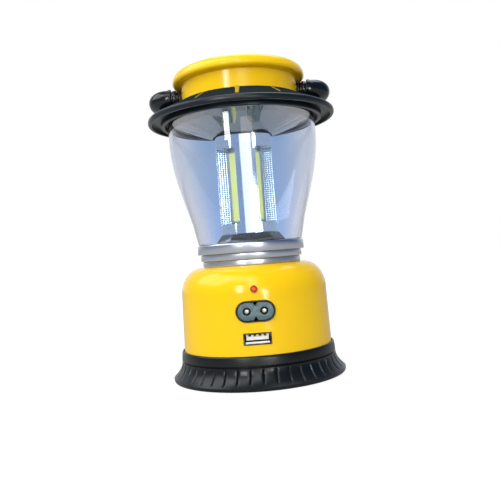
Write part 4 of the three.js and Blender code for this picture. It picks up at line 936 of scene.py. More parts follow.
lens_profile = [(0, LAMP_BACK), (LENS_RADIUS, LAMP_BACK)] + arc((0, 39.6), (LENS_RADIUS, 0.9), 0, 90, 12)
lens = place(spin("charge_lamp", lens_profile, around=48), to_azimuth(0, LAMP_Z))
piece_done(lens, red_lens, "lantern", "red_lens", "charge_led")
flange_profile = [(FLANGE_EYE, LAMP_BACK), (FLANGE_EDGE, LAMP_BACK), (FLANGE_EDGE, 40.2, 0.3),
                  (FLANGE_EYE, 40.0, 0.1)]
turned_part("charge_lamp_flange", flange_profile, 48, to_azimuth(0, LAMP_Z), red_flange_painted_shade, "lantern",
            "red_lens", closed=True)

# %% [markdown]
# ## The silver ring
#
# Three steps, each a little wider than the one below, with rounded edges and a thin shadow line where one
# step meets the next. Three stacked rings would look the same from afar, but one profile keeps the shadow
# lines as real grooves with a floor.

# %% Silver ring
RING_EYE, RING_LOW, RING_TOP = 10, 60.0, 72.2

ring_profile = soften([
    (RING_EYE, RING_LOW), (26.4, RING_LOW, 0.2), (26.7, 60.5, 0.3), (26.7, 62.9, 0.3), (26.1, 63.25, 0.1),
    (26.1, 63.4), (27.5, 63.4, 0.06), (27.6, 63.55), (27.6, 66.4, 0.35), (26.9, 66.8, 0.1),
    (26.9, 66.95), (29.0, 66.95, 0.08), (29.1, 67.1), (29.1, 71.5, 0.7), (28.3, RING_TOP, 0.4),
    (RING_EYE, RING_TOP)], closed=True)
ring = spin("silver_ring_turned", ring_profile, around=224, closed=True, crisp=50)
piece_done(ring, silver, "lantern", "silver_plastic", "silver_ring")

# %% [markdown]
# ## The jar
#
# The wall of the jar opens from the ring, swells, and stands upright under the collar. Glass needs both
# faces of its wall, or light would bend as in a solid block, so the profile goes up outside and down inside.
# The swell is part of a sine, which has no flat spots, as a blown or moulded wall has none.

# %% Jar
JAR_WALL = 1.8
JAR_FOOT, JAR_TOP = [(28.4, 72.5), (29.5, 77.5)], [(40.27, 135), (40.2, 140.4)]
SWELL_START, SWELL_OUT, SWELL_UP, SWELL_LATE = (30.9, 84.0), 9.4, 46, 1.06


def jar_side(inset, steps=56):
    points = JAR_FOOT + [SWELL_START]
    for k in range(1, steps + 1):
        share = k / steps
        out = SWELL_OUT * math.sin(QUARTER * share ** SWELL_LATE)
        points.append((SWELL_START[0] + out, SWELL_START[1] + SWELL_UP * share))
    return [(radius - inset, z) for radius, z in points + JAR_TOP]


jar = spin("jar_wall", jar_side(0) + jar_side(JAR_WALL)[::-1], around=224, closed=True, crisp=60)
piece_done(jar, jar_clear, "lantern", "clear_plastic", "jar")

# %% [markdown]
# ## Mirrors in the jar
#
# The plinth is a low block with cut corners, narrower at its top. A scaled box would do it in one line, but
# the cut corners lean in as well, so it is a skin between two outlines. Plinth and column stand turned by
# three degrees, as they do in the photo.

# %% Plinth
MIRROR_TURN = Matrix.Rotation(math.radians(3), 4, "Z")
PLINTH_LOW, PLINTH_TOP = 72.5, 76.8


def cut_square(half, flat, z):
    """A square with cut corners: half its width, and half the length of each side that is left."""
    points = []
    for side in range(4):
        turn = QUARTER * side
        for along in (-flat, flat):
            x = along * math.cos(turn) + half * math.sin(turn)
            y = along * math.sin(turn) - half * math.cos(turn)
            points.append((x, y, z))
    return points


plinth = skin("plinth_block", cut_square(18.3, 11.6, PLINTH_LOW), cut_square(15.2, 9.2, PLINTH_TOP))
place(bevel(plinth, 0.3, 3, angle=20), MIRROR_TURN)
piece_done(plinth, plinth_mirror_painted_shade, "lantern", "mirror_plastic", "bottom_reflector")

# %% [markdown]
# The column is a square bar with rounded corners and slightly swollen faces, and each corner holds a niche
# for a light strip. The sides of a niche are finely fluted to spread the light. The flutes could be bump
# only, but they are in the niche's outline, so they are real ridges that break a reflection into many thin
# lines.

# %% Outlines of column and niche
COLUMN_HALF, COLUMN_FLAT = 15.1, 5.4
COLUMN_LOW, COLUMN_HIGH = 77.1, 129.4
NICHE_LOW, NICHE_HIGH = 82.4, 122.6
NICHE_FLOOR, NICHE_FLOOR_HALF = 8.2, 4.75
NICHE_BOW, NICHE_OVERCUT = 1.6, 0.12
FLUTES, FLUTE_HEIGHT, FLUTE_STEPS = 5, 0.42, 10
SPINE_SWELL, SPINE_STEPS = 0.34, 12


def diagonal(side):
    """The angle of a corner of the column, from +X."""
    return QUARTER * side + QUARTER / 2


def column_outline(steps=14):
    points = []
    reach = COLUMN_FLAT * math.sqrt(2)
    for side in range(4):
        middle = (reach * math.cos(diagonal(side)), reach * math.sin(diagonal(side)))
        points += arc(middle, COLUMN_HALF - COLUMN_FLAT, 90 * side, 90 * side + 90, steps)
        turn = Matrix.Rotation(QUARTER * side, 2)
        for k in range(1, SPINE_STEPS):
            share = 1 - 2 * k / SPINE_STEPS
            face_point = Vector((COLUMN_FLAT * share, COLUMN_HALF + SPINE_SWELL * (1 - share ** 2)))
            points.append(tuple(turn @ face_point))
    return points


def niche_outline():
    """A flat floor between two fluted sides that open outwards; x runs out along the diagonal."""
    mouth = ((COLUMN_HALF + COLUMN_FLAT) / math.sqrt(2), (COLUMN_HALF - COLUMN_FLAT) / math.sqrt(2))
    run = (mouth[0] - NICHE_FLOOR, mouth[1] - NICHE_FLOOR_HALF)
    length = math.hypot(*run)
    side = []
    for i in range(FLUTES * FLUTE_STEPS + 1):
        share = i / (FLUTES * FLUTE_STEPS)
        out = NICHE_BOW * share * (1 - share) - FLUTE_HEIGHT * abs(math.sin(math.pi * FLUTES * share))
        x = NICHE_FLOOR + share * run[0] - out * run[1] / length
        y = NICHE_FLOOR_HALF + share * run[1] + out * run[0] / length
        side.append((x, y))
    side.append((mouth[0] - 0.1, mouth[1] + NICHE_OVERCUT))
    side.append((COLUMN_HALF + COLUMN_FLAT, mouth[1] + NICHE_OVERCUT))
    return [(x, -y) for x, y in side[::-1]] + side


print("column outline", len(column_outline()), "points, niche outline", len(niche_outline()), "points")

# %% [markdown]
# The bar is cut by four niche tools, one at each corner. The faces that end up inside a niche get the banded
# mirror, whose bands are painted reflections, and the rest gets the plain one.

# %% Column
INSIDE_BY = 0.1

column = prism("fluted_column", column_outline(), COLUMN_LOW, COLUMN_HIGH, crisp=25)
niches = []
for side in range(4):
    niche = prism("niche", niche_outline(), NICHE_LOW, NICHE_HIGH)
    niches.append(place(niche, Matrix.Rotation(diagonal(side), 4, "Z")))
combine(column, niches, crisp=25)


def in_a_niche(x, y, z):
    between_ends = NICHE_LOW + INSIDE_BY < z < NICHE_HIGH - INSIDE_BY
    return between_ends and max(abs(x), abs(y)) < COLUMN_HALF - INSIDE_BY


two_finishes(column, mirror, fluted_mirror_painted_flashes, in_a_niche)
place(column, MIRROR_TURN)
piece_done(column, None, "lantern", "mirror_plastic", "light_column")

# %% [markdown]
# Each light strip is a white board with a broad low bead of yellow silicone along its middle. It lies on
# the niche's floor, so from the front the spine hides its inner margin. The bead has the section of a drop
# that was laid by a nozzle, so it is a prism of that section and not a half cylinder.

# %% Light strips
BOARD_FACE, BOARD_HALF = (8.5, 8.98), 4.4
BEAD_BASE = 8.94
STRIP_MARGIN, BEAD_MARGIN = 1.0, 1.9

bead_outline = soften([(0, -2.45), (0.42, -2.3, 0.35), (0.46, 0, 2.0), (0.42, 2.3, 0.35), (0, 2.45)])
bead_outline = [(BEAD_BASE + x, y) for x, y in bead_outline]
for side in range(4):
    turn = MIRROR_TURN @ Matrix.Rotation(diagonal(side), 4, "Z")
    strip_board = block(f"strip_board_{side + 1}", (BOARD_FACE[0], -BOARD_HALF, NICHE_LOW + STRIP_MARGIN),
                        (BOARD_FACE[1], BOARD_HALF, NICHE_HIGH - STRIP_MARGIN))
    place(bevel(strip_board, 0.12, 2), turn)
    bead = prism(f"strip_bead_{side + 1}", bead_outline, NICHE_LOW + BEAD_MARGIN, NICHE_HIGH - BEAD_MARGIN)
    place(bevel(bead, 0.15, 2), turn)
    piece_done(strip_board, white, "lantern", "phosphor", f"cob_strip_{side + 1}")
    piece_done(bead, phosphor, "lantern", "phosphor")

# %% [markdown]
# The bell hangs over the column with its mirror face down, and shows the column again in its curve. A cone
# would reflect too evenly. The profile is a soft curve, and low waves run round it, because a pressed and
# metallised sheet is never quite even.

# %% Bell
BELL_SHEET = 1.2
BELL_RIM = (37.2, 138.35)
BELL_RIM_TOP = (37.2, 139.6)
WAVES_START, WAVES_END = (18, 22), (32, 36.5)
WAVES = ((0.5, 7, 0.6), (0.4, 12, 2.1), (0.2, 23, 0))

bell_under = soften([(16.4, 130.4), (18.2, 131.2, 1.2), (29.3, 135.5, 8), BELL_RIM], steps=10)
bell_over = [BELL_RIM_TOP] + [(r, z + BELL_SHEET) for r, z in bell_under[::-1][1:]]
bell_edge = soften([BELL_RIM, (37.3, 138.15, 0.1), (37.9, 138.3, 0.2), (37.9, 139.5, 0.2), BELL_RIM_TOP])
bell_under += bell_edge[1:-1]


def wavy(radius, z, angle):
    """Low waves: each has a height, a number round the bell and a start."""
    wave = sum(height * math.sin(count * angle + start) for height, count, start in WAVES)
    return radius + wave * ramp(radius, *WAVES_START) * (1 - ramp(radius, *WAVES_END))


bell = spin("mirror_bell", bell_under + bell_over, around=288, closed=True, bend=wavy, crisp=40)
piece_done(bell, bell_mirror_painted_shade_and_reflection, "lantern", "mirror_plastic", "top_reflector")

# %% [markdown]
# ## The collar
#
# The black collar is a wide cone with a rounded rim and a stepped underside that grips the jar. The yellow
# index mark of the head lies in a slot in it. The profile goes once round the whole section, underside too,
# because the photo looks up under the rim. The cone is duller than the rim and has a finish of its own: a
# lighter blue-grey with no specular reflection, which is a painted sheen.

# %% Collar
CONE_LOW, CONE_HIGH = (49.5, 141.7), (33.2, 149.6)
COLLAR_EYE, CONE_TOP = 31.9, 149.6
MARK_AZIMUTH, MARK_OUTER = -1.2, 47.4


def cone_height(radius):
    rise = (CONE_HIGH[1] - CONE_LOW[1]) / (CONE_LOW[0] - CONE_HIGH[0])
    return CONE_LOW[1] + rise * (CONE_LOW[0] - radius)


def cone_bar(name, width, inner, outer, above, below):
    """A bar that lies on the cone at the index mark, from one radius to another."""
    section = [(inner, cone_height(inner) - below), (outer, cone_height(outer) - below),
               (outer, cone_height(outer) + above), (inner, cone_height(inner) + above)]
    sides = [[(sign * width / 2, -r, z) for r, z in section] for sign in (-1, 1)]
    return place(skin(name, *sides), Matrix.Rotation(math.radians(MARK_AZIMUTH), 4, "Z"))


def on_the_cone(x, y, z):
    return z > CONE_LOW[1] - INSIDE_BY and math.hypot(x, y) > COLLAR_EYE + INSIDE_BY / 2


collar_profile = soften([
    (48.9, 138.4, 0.3), (50.3, 138.4, 0.6), (50.95, 139.2, 0.6), (50.95, 140.7, 0.7), (50.2, 141.5, 0.4),
    (49.4, 141.55, 0.2), (49.1, 141.95, 0.3), (33.4, cone_height(33.4), 0.3), (33.0, CONE_TOP, 0.2),
    (COLLAR_EYE, CONE_TOP), (COLLAR_EYE, cone_height(COLLAR_EYE) - 3.2), (39.0, cone_height(39.0) - 1.9),
    (39.0, 142.3), (37.4, 142.3), (37.4, 140.7), (40.5, 140.7), (40.5, 139.8), (41.9, 139.8),
    (41.9, 137.5, 0.3), (42.6, 137.35, 0.4), (44.0, 137.5, 0.4), (44.0, 140.4, 0.2), (48.9, 140.4, 0.2)],
    closed=True)
collar = spin("collar_turned", collar_profile, around=256, closed=True, crisp=40)
combine(collar, [cone_bar("cut", 2.5, 31, MARK_OUTER + 0.3, 2, 1.7)], crisp=40)
two_finishes(collar, rim_black, cone_black_painted_sheen, on_the_cone)
piece_done(collar, None, "lantern", "black_plastic", "collar")

# %% [markdown]
# One fine slanted line is moulded into the cone on each side of the mark. It could be drawn in the finish,
# but it stands out by a third of a millimetre and catches light, so it is a thin bar that lies nearly half
# in the cone and tapers off at both ends.

# %% Slanted lines on the collar
LINE_INNER, LINE_RUN, LINE_STEPS = 35.4, 11.6, 12
LINE_RADIUS, LINE_TIP, LINE_LIFT = 0.26, 0.1, 0.06
LINE_AZIMUTHS = {"left": (-29.8, -27.2), "right": (27.4, 25.2)}


def cone_point(azimuth, radius):
    angle = math.radians(azimuth)
    return Vector((radius * math.sin(angle), -radius * math.cos(angle), cone_height(radius) + LINE_LIFT))


for word, (first, last) in LINE_AZIMUTHS.items():
    path = [cone_point(first + (last - first) * t / LINE_STEPS, LINE_INNER + LINE_RUN * t / LINE_STEPS)
            for t in range(LINE_STEPS + 1)]
    radii = [LINE_TIP] + [LINE_RADIUS] * (LINE_STEPS - 1) + [LINE_TIP]
    line = sweep("collar_line_" + word, path, radii, sides=12)
    # The line's gold colour is a painted highlight on the moulded ridge.
    piece_done(line, gold_painted_shade_and_highlight, "lantern", "yellow_plastic")

# %% [markdown]
# ## The head
#
# A yellow neck stands in the collar and carries a shallow cap, like a mushroom. The index mark runs down
# from the neck in the collar's slot. The cap's round edge is part of an ellipse, because it is flatter on
# top than at its side, and its recess holds the solar panel.

# %% Head
HANDLE_Z, PIN_BORE = 154.0, 2.15
NECK_RADIUS, HEAD_EYE, HEAD_TOP = 31.5, 29.3, 165.6
BRIM_CENTRE, BRIM_ROUND = (32.6, 160.9), (3.6, 4.7)
RECESS_FLOOR, RECESS_CEILING = 162.9, 160.9

head_profile = soften([(HEAD_EYE, 143.4), (NECK_RADIUS, 143.4, 0.3), (NECK_RADIUS, 159.4, 0.5),
                       (35.2, 159.5, 0.7), (36.15, 160.6, 0.9)])
head_profile += arc(BRIM_CENTRE, BRIM_ROUND, 4, 90, 18)
head_profile += soften([(32.6, HEAD_TOP), (HEAD_EYE, HEAD_TOP, 0.3), (29.1, 165.2), (29.1, RECESS_FLOOR),
                        (2.5, RECESS_FLOOR), (2.5, RECESS_CEILING), (HEAD_EYE, RECESS_CEILING)])[1:]
head = spin("head_cap", head_profile, around=224, closed=True)
combine(head, [drill(PIN_BORE, 26, 33, to_azimuth(side * 90, HANDLE_Z), around=32) for side, _ in SIDES])
# The index mark's darker gold is painted shade on the head's yellow plastic.
mark = bevel(cone_bar("index_mark", 1.9, 31.0, MARK_OUTER, 0.25, 1.3), 0.2, 3)
piece_done(head, yellow, "lantern", "yellow_plastic", "head_shell")
piece_done(mark, gold_painted_shade_and_highlight, "lantern", "yellow_plastic")

# %% [markdown]
# The panel is a disc of dark resin with strips of silicon cells in it. The strips are tiles cut to the disc's
# outline, and thin silver fingers run across them. Lines in the finish would be simpler, but the tiles stand
# proud of the resin in a raking light, so they are thin blocks.

# %% Solar panel
TILE_PITCH, TILE_HALF, FINGER_HALF = 7.2, 3.4, 0.22
CELL_CIRCLE, SHORTEST_TILE, ROW_GAP = 26.2, 4, 0.3

disc_profile = [(0, 163.3), (28.8, 163.3), (28.8, 165.1, 0.3), (28.4, 165.2, 0.2), (0, 165.2)]
turned_part("panel_disc", disc_profile, 128, Matrix(), panel_black, "lantern", "solar_cells", "solar_panel")
tiles, fingers = [], []
for k in range(-3, 4):
    for row in (-1, 1):
        middle = k * TILE_PITCH
        half = math.sqrt(max(CELL_CIRCLE ** 2 - (abs(middle) + TILE_HALF) ** 2, 0))
        if half < SHORTEST_TILE:
            continue
        low, high = (ROW_GAP, half) if row > 0 else (-half, -ROW_GAP)
        for made, half_width, bottom, top in ((tiles, TILE_HALF, 165.15, 165.27),
                                              (fingers, FINGER_HALF, 165.2, 165.3)):
            made.append(block("part", (middle - half_width, low, bottom), (middle + half_width, high, top)))
piece_done(join("panel_cells", tiles), solar_blue, "lantern", "solar_cells")
piece_done(join("panel_fingers", fingers), silver, "lantern", "solar_cells")

# %% [markdown]
# ## The handle
#
# The bail is a round bar: an elbow at each side and half an ellipse behind the neck. Its radius changes
# along its length, so one sweep with a radius at each point makes the bar, the swell at the elbow, the bead
# and the ribbed sleeve on the pin.

# %% The bail's path
ELBOW_X, ELBOW, BAR_RADIUS = 37.8, 8.0, 5.37
BEAD_RADIUS, WRIST_RADIUS = 5.5, 5.15
BAIL_REACH, BAIL_STEPS = 37, 36
SLEEVE = ((33.3, 3.7), (33.5, 4.0), (34.4, 4.0), (34.6, 4.4), (34.9, 4.7), (35.3, 4.78), (36.4, 4.7),
          (36.6, 4.5), (36.9, 4.4), (37.2, 4.5), (37.4, 5.2), (37.6, BEAD_RADIUS), (ELBOW_X, BEAD_RADIUS))
ELBOW_DEGREES = (2, 4, 6, 7, 7.6, 8.5, 12, 16, 22, 30, 38, 46, 54, 62, 70, 80, 90)


def bail_path():
    """Centre points and radii from the right sleeve, round the back, to the left sleeve."""
    places = [((x, 0.0), radius) for x, radius in SLEEVE]
    for degrees in ELBOW_DEGREES:
        angle = math.radians(degrees) - QUARTER
        swelling = WRIST_RADIUS + (BAR_RADIUS - WRIST_RADIUS) * ramp(degrees, 8, 40)
        radius = BEAD_RADIUS if degrees < 6.5 else swelling
        places.append(((ELBOW_X + ELBOW * math.cos(angle), ELBOW + ELBOW * math.sin(angle)), radius))
    for k in range(1, BAIL_STEPS + 1):
        angle = QUARTER * k / BAIL_STEPS
        x = (ELBOW_X + ELBOW) * math.cos(angle)
        places.append(((x, ELBOW + BAIL_REACH * math.sin(angle)), BAR_RADIUS))
    back = [((-x, y), radius) for (x, y), radius in places[:-1]][::-1]
    return places + back


bail_points = bail_path()
print("points along the bail", len(bail_points))

# %% [markdown]
# The bar is bored at both ends for the pins that it swings on, and a thin black washer keeps it off the
# neck on each side. Pins pushed into a solid bar would look the same at rest, but not once it swings.

# %% Bail and washers
bail_line = [(x, y, HANDLE_Z) for (x, y), _ in bail_points]
bail = sweep("bail_bar", bail_line, [radius for _, radius in bail_points], sides=40)
bores = [drill(PIN_BORE, 32, 39.3, to_azimuth(side * 90, HANDLE_Z), around=32) for side, _ in SIDES]
combine(bail, bores, crisp=50)
piece_done(bail, black, "handle", "black_plastic", "handle_bail")
washer_profile = [(PIN_BORE, 32, 0.1), (4, 32, 0.2), (4, 33, 0.2), (PIN_BORE, 33, 0.1)]
for side, word in SIDES:
    turned_part("bail_washer_" + word, washer_profile, 48, to_azimuth(side * 90, HANDLE_Z), black_satin,
                "lantern", "black_plastic", "handle_washer_" + word, closed=True)

# %% [markdown]
# ## The crank at the back
#
# A bush sits in the housing's wall, a steel shaft turns in it, and a screw with a cross slot holds the arm.
# All three are turned parts, so each is one spun profile that is laid along +Y.

# %% Bush, shaft and screw
SHAFT_RADIUS, SHAFT_BORE, SCREW_RADIUS = 2.5, 2.75, 1.2
BUSH_RADIUS, FLANGE_RADIUS = 4.6, 7
on_the_shaft = along_y(CRANK_Z)

turned_part("crank_bush_turned", [
    (SHAFT_BORE, 36.2), (BUSH_RADIUS, 36.2, 0.3), (BUSH_RADIUS, 39.98), (FLANGE_RADIUS, 39.98, 0.3),
    (FLANGE_RADIUS, 41.6, 0.6), (6.2, 42.18, 0.3), (SHAFT_BORE, 42.18, 0.2)],
    72, on_the_shaft, black_satin, "lantern", "black_plastic", "crank_bush", closed=True)
turned_part("crank_shaft_turned", [
    (0, 18.2), (1.5, 18.2, 0.2), (1.5, 20.7), (SHAFT_RADIUS, 20.7, 0.2), (SHAFT_RADIUS, 45.58, 0.2),
    (1.45, 45.58), (1.45, 39.6), (0, 39.6)],
    48, on_the_shaft, steel, "crank", "steel", "crank_shaft")
screw_profile = soften([
    (0, 39.9), (SCREW_RADIUS, 39.9), (SCREW_RADIUS, 46.03), (4, 46.03, 0.2), (4, 46.9, 0.7), (2.5, 47.6, 0.8),
    (0, 47.63)])
screw = place(spin("crank_screw_head", screw_profile, around=64), on_the_shaft)
combine(screw, [place(bar, on_the_shaft) for bar in cross_slot(2.4, 0.4, 46.9, 49)])
piece_done(screw, steel, "crank", "steel", "crank_screw")

# %% [markdown]
# The arm has a hub at the shaft and two ears at its tip, which hold the folding knob. It is a flat outline
# that tapers from hub to tip, given a thickness and joined with the ears. Its edges are bevelled after the
# bores are cut, so that the bores get a rounded mouth as well.

# %% Arm
ARM_BACK, ARM_THICK = 42.6837, 3.2
HUB_RADIUS, TIP_RADIUS, THROW = 7, 5, 26.0
HINGE_Y, HINGE_Z = ARM_BACK + 8.5, CRANK_Z - THROW
EAR_RADIUS, EAR_START, EAR_INSIDE, EAR_OUTSIDE = 4.7, 44.2, 3.3, 5.1
HINGE_BORE = 1.45
ACROSS = Matrix.Rotation(QUARTER, 4, "Y")
hinge_across = Matrix.Translation((0, HINGE_Y, HINGE_Z)) @ ACROSS


def tapered_outline(hub, tip, throw, steps=24):
    """Two circles, one below the other, and the straight lines that touch both."""
    lean = math.degrees(math.asin((hub - tip) / throw))
    return arc((0, 0), hub, -lean, 180 + lean, steps) + arc((0, -throw), tip, 180 + lean, 360 - lean, steps)


arm = prism("crank_arm_moulded", tapered_outline(HUB_RADIUS, TIP_RADIUS, THROW), 0, ARM_THICK)
facing_front(arm, ARM_BACK, ARM_THICK, CRANK_Z)
ear_side = [(EAR_START, -EAR_RADIUS)] + arc((HINGE_Y, 0), EAR_RADIUS, -90, 90, 18) + [(EAR_START, EAR_RADIUS)]
ears = []
for low_x, high_x in ((-EAR_OUTSIDE, -EAR_INSIDE), (EAR_INSIDE, EAR_OUTSIDE)):
    ears.append(skin("ear", *[[(x, y, HINGE_Z + z) for y, z in ear_side] for x in (low_x, high_x)]))
combine(arm, ears, "UNION")
combine(arm, [drill(SHAFT_BORE, 40, 50, on_the_shaft, around=48),
              drill(HINGE_BORE, -9, 9, hinge_across, around=32)])
bevel(arm, 0.45, 3, angle=50, crisp=35)
piece_done(arm, black, "crank", "black_plastic", "crank_arm")

# %% [markdown]
# The knob hangs on a steel stalk with a flat eye, and the eye turns on a pin between the ears. Eye and
# stalk are one casting, so two spun forms are joined and then bored.

# %% Hinge pin and stalk
EYE_RADIUS, EYE_HALF, STALK_RADIUS, PIN_HALF = 4.4, 3, 1.7, 5.1

turned_part("hinge_pin", [(0, -PIN_HALF), (1.2, -PIN_HALF, 0.3), (1.2, PIN_HALF, 0.3), (0, PIN_HALF)],
            32, hinge_across, steel, "crank", "steel", "knob_hinge_pin")
eye_profile = [(0, -EYE_HALF), (EYE_RADIUS, -EYE_HALF, 0.4), (EYE_RADIUS, EYE_HALF, 0.4), (0, EYE_HALF)]
eye = place(spin("knob_stalk", soften(eye_profile), around=64), ACROSS)
combine(eye, [block("cut", (-6, -6, 4.1), (6, 6, 9))])
stalk_profile = soften([(0, 0), (STALK_RADIUS, 0), (STALK_RADIUS, 19.9), (3, 19.9, 0.2), (3, 21.15, 0.4),
                        (0, 21.15)])
combine(eye, [spin("stalk", stalk_profile, around=40)], "UNION")
combine(eye, [drill(HINGE_BORE, -6, 6, ACROSS, around=32)])
place(eye, Matrix.Translation((0, HINGE_Y, HINGE_Z)))
piece_done(eye, steel, "knob_yoke", "steel", "knob_yoke")

# %% [markdown]
# The grip has a waist and soft ribs for the fingers. The ribs could be stacked rings, but both follow sine
# curves along its length, so that the ribs fade in and out and no edge has to be rounded afterwards.

# %% Knob
KNOB_LOW, KNOB_LENGTH, KNOB_RADIUS, KNOB_BORE = HINGE_Z + 5.3, 16, 5, 1.95
WAIST, RIB, RIB_COUNT, KNOB_END, KNOB_STEPS = 0.7, 0.22, 7, 0.7, 40

knob_side = []
for k in range(KNOB_STEPS + 1):
    share = k / KNOB_STEPS
    waist = WAIST * math.sin(math.pi * share) ** 2
    ribs = RIB * (0.5 + 0.5 * math.cos(2 * math.pi * RIB_COUNT * share))
    rib = ribs * ramp(share, 0.1, 0.2) * (1 - ramp(share, 0.8, 0.9))
    z = KNOB_LOW + KNOB_END + (KNOB_LENGTH - 2 * KNOB_END) * share
    knob_side.append((KNOB_RADIUS - waist - rib, z))
knob_top = KNOB_LOW + KNOB_LENGTH
knob_profile = soften([(KNOB_BORE, KNOB_LOW), (4.3, KNOB_LOW, 0.4), knob_side[0]])[:-1] + knob_side
knob_profile += soften([knob_side[-1], (4.4, knob_top, 0.5), (3.25, knob_top, 0.2), (3.25, knob_top - 1.7),
                        (KNOB_BORE, knob_top - 1.7)])[1:]
knob = spin("knob_grip", knob_profile, around=96, closed=True, crisp=50)
place(knob, Matrix.Translation((0, HINGE_Y, 0)))
piece_done(knob, black_satin, "knob", "black_plastic", "crank_knob")

# %% [markdown]
# The power button is a domed cap with a shallow ring in its face, at the back right. The ring tells a
# finger where the middle is. It is in the spun profile, as a groove with soft edges.

# %% Power button
turned_part("button_cap", [
    (0, 34.3), (2, 34.3, 0.2), (2, 37.9), (5.4, 37.9, 0.2), (5.4, 40.3, 0.5), (4.7, 40.95, 0.5),
    (3.3, 41.15, 0.2), (3.1, 40.95, 0.15), (2.8, 40.95, 0.15), (2.6, 41.2, 0.2), (0, 41.28)],
    72, to_azimuth(BUTTON_AZIMUTH, BUTTON_Z), black_satin, "button", "black_plastic", "power_button")

# %% [markdown]
# ## What stays as the CAD made it
#
# Pieces that are closed in, such as the gears and the cells, keep their CAD shapes and get finishes of their
# own. They show only where the jar or a cut-out lets one look in, or when the shell is taken off.

# %% Finishes for the inner pieces
INNER_FINISHES = {
    "battery_pack": cell_sleeve, "port_board": board_green, "power_switch": white, "gear_frame": black_satin,
    "drive_gear": gear_white, "idler_gear": gear_white, "idler_axle": steel, "dynamo_can": steel,
    "dynamo_rotor": steel, "handle_pin_left": steel, "handle_pin_right": steel,
}
for name, material in INNER_FINISHES.items():
    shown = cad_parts[name]
    shown.data.materials.clear()
    shown.data.materials.append(material)
print("inner pieces", len(INNER_FINISHES))

# %% [markdown]
# ## Floor, light and surroundings
#
# The lantern stands on a white floor that runs out of sight. A floor that is only lit looks grey, so the
# part that the camera sees gets a little of its own light, and the shadow stays. Mirrors and glass see that
# light too, but weaker, because in a studio they would see dark things beside the floor as well.

# %% Floor
FLOOR_RADIUS, FLOOR_SIDES, FLOOR_LOW, FLOOR_HIGH = 4000, 96, -2, -0.02
NEAR, FAR = 0.1, 0.9
NEAR_GLOW, FAR_GLOW = 0.74, 0.88
GLASS_SHARE, GLOSS_SHARE = 0.42, 0.22

floor = prism("floor", arc((0, 0), FLOOR_RADIUS, 0, 360, FLOOR_SIDES)[:-1], FLOOR_LOW, FLOOR_HIGH)
floor_white, tree, shader = new_material("floor_white", Base_Color=(0.3, 0.3, 0.3, 1), Roughness=0.8,
                                         Specular_IOR_Level=0.1)
spot = node(tree, "ShaderNodeVectorMath", operation="LENGTH")
tree.links.new(object_place(tree), spot.inputs[0])
away = remap(tree, spot.outputs["Value"], NEAR, FAR, NEAR_GLOW, FAR_GLOW)
rays = node(tree, "ShaderNodeLightPath").outputs
in_glass = maths(tree, "MULTIPLY", rays["Is Transmission Ray"], GLASS_SHARE)
in_gloss = maths(tree, "MULTIPLY", rays["Is Glossy Ray"], GLOSS_SHARE)
seen = maths(tree, "MAXIMUM", rays["Is Camera Ray"], maths(tree, "MAXIMUM", in_glass, in_gloss))
glow = node(tree, "ShaderNodeEmission")
glow.inputs["Color"].default_value = (1, 1, 1, 1)
tree.links.new(maths(tree, "MULTIPLY", seen, away), glow.inputs["Strength"])
both = node(tree, "ShaderNodeAddShader")
for made, socket in zip((shader, glow), both.inputs):
    tree.links.new(made.outputs[0], socket)
tree.links.new(both.outputs[0], tree.nodes["Material Output"].inputs["Surface"])
floor.data.materials.append(floor_white)
print("floor", 2 * FLOOR_RADIUS * MM, "metres across")

# %% [markdown]
# Large soft lamps at the left and above give the broad light. Tall narrow ones give the upright highlights
# that gloss and glass show, because a highlight has the shape of the lamp. A warm card fills the column's
# spine. A lamp is given by where it stands and how bright it looks, which doesn't change with its size.

# %% Lamps
AIM = Vector((0, 0, 80 * MM))


def lamp_at(name, azimuth, elevation, distance, size, radiance, colour=(1, 1, 1)):
    """A rectangular area lamp that looks at the lantern's axis."""
    data = bpy.data.lights.new(name, "AREA")
    data.shape = "RECTANGLE"
    data.size, data.size_y = size
    data.energy = radiance * math.pi * size[0] * size[1]
    data.color = colour
    across, up = math.radians(azimuth), math.radians(elevation)
    outwards = Vector((math.sin(across) * math.cos(up), -math.cos(across) * math.cos(up), math.sin(up)))
    lamp = link(name, data)
    lamp.location = AIM + distance * outwards
    lamp.rotation_euler = (lamp.location - AIM).to_track_quat("Z", "Y").to_euler()


# Azimuth and elevation are in degrees, distance and size in metres.
lamp_at("soft_left", -84, 42, 1.1, (1.0, 0.7), radiance=2.2)
lamp_at("soft_front_left", -34, 52, 1.1, (0.7, 0.5), radiance=1.9)
lamp_at("tall_window", -22, 13.5, 1.0, (0.14, 0.38), radiance=16)
lamp_at("low_window", 16.5, 1.5, 1.0, (0.09, 0.2), radiance=22)
lamp_at("front_window", -1, 36, 1.0, (0.22, 0.6), radiance=3.4)
lamp_at("spine_card", 7, 8, 1.0, (0.29, 0.28), radiance=2.0, colour=(1, 0.88, 0.76))
lamp_at("soft_top", 150, 72, 1.1, (0.8, 0.8), radiance=2.2)
print("lamps", len(bpy.data.lights))

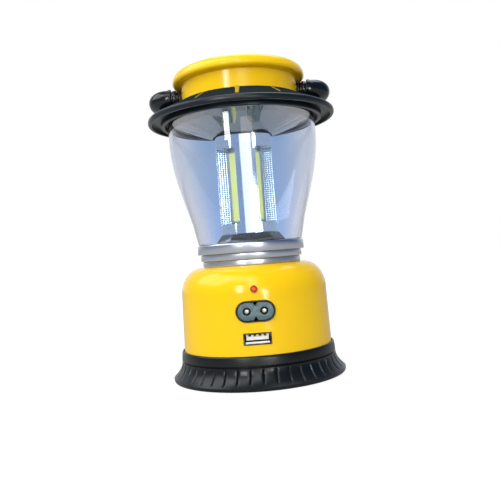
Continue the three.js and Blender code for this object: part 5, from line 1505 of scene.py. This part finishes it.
# %% [markdown]
# The surroundings are a studio seen as colours: dark and bluish at the right, lighter at the left, a pale
# panel in front and a bright wall behind. A picture of a room could be wrapped round the scene, but beside
# the lamps and the floor a few colours are enough for the lantern to reflect. What shows through the jar is
# blue in the middle and pale beside it, and the camera itself sees plain white.

# %% Surroundings
ROOM_RIGHT, ROOM_LEFT = (0.08, 0.13, 0.25, 1.0), (0.24, 0.28, 0.35, 1.0)
ROOM_FRONT, ROOM_BACK = (0.72, 0.75, 0.8, 1.0), (0.9, 0.92, 0.95, 1.0)
GLASS_HIGH, GLASS_LOW = (0.44, 0.54, 0.69, 1.0), (0.44, 0.58, 0.84, 1.0)
GLASS_BESIDE = (0.64, 0.68, 0.76, 1.0)
SOFT_LIGHT, WHITE = (0.52, 0.52, 0.53, 1.0), (1.0, 1.0, 1.0, 1.0)

world = bpy.data.worlds.new("studio")
bpy.context.scene.world = world
world.use_nodes = True
tree = world.node_tree
tree.nodes.clear()
rays = node(tree, "ShaderNodeLightPath").outputs
axes = axes_of(tree, node(tree, "ShaderNodeTexCoord").outputs["Generated"])
room = mix_colour(tree, remap(tree, axes["X"], 0.6, -0.8), ROOM_RIGHT, ROOM_LEFT)
room = mix_colour(tree, remap(tree, axes["Y"], -0.9, -0.985), room, ROOM_FRONT)
room = mix_colour(tree, remap(tree, axes["Y"], 0.45, 0.95), room, ROOM_BACK)
glass_room = mix_colour(tree, remap(tree, axes["Z"], 0.16, 0.04), GLASS_HIGH, GLASS_LOW)
beside = remap(tree, maths(tree, "ABSOLUTE", axes["X"]), 0.08, 0.18)
glass_room = mix_colour(tree, beside, glass_room, GLASS_BESIDE)
looks = (("Is Transmission Ray", glass_room), ("Is Diffuse Ray", SOFT_LIGHT), ("Is Camera Ray", WHITE))
for ray, look in looks:
    room = mix_colour(tree, rays[ray], room, look)
background = node(tree, "ShaderNodeBackground")
tree.links.new(room, background.inputs["Color"])
tree.links.new(background.outputs[0], node(tree, "ShaderNodeOutputWorld").inputs["Surface"])
print("world", world.name)
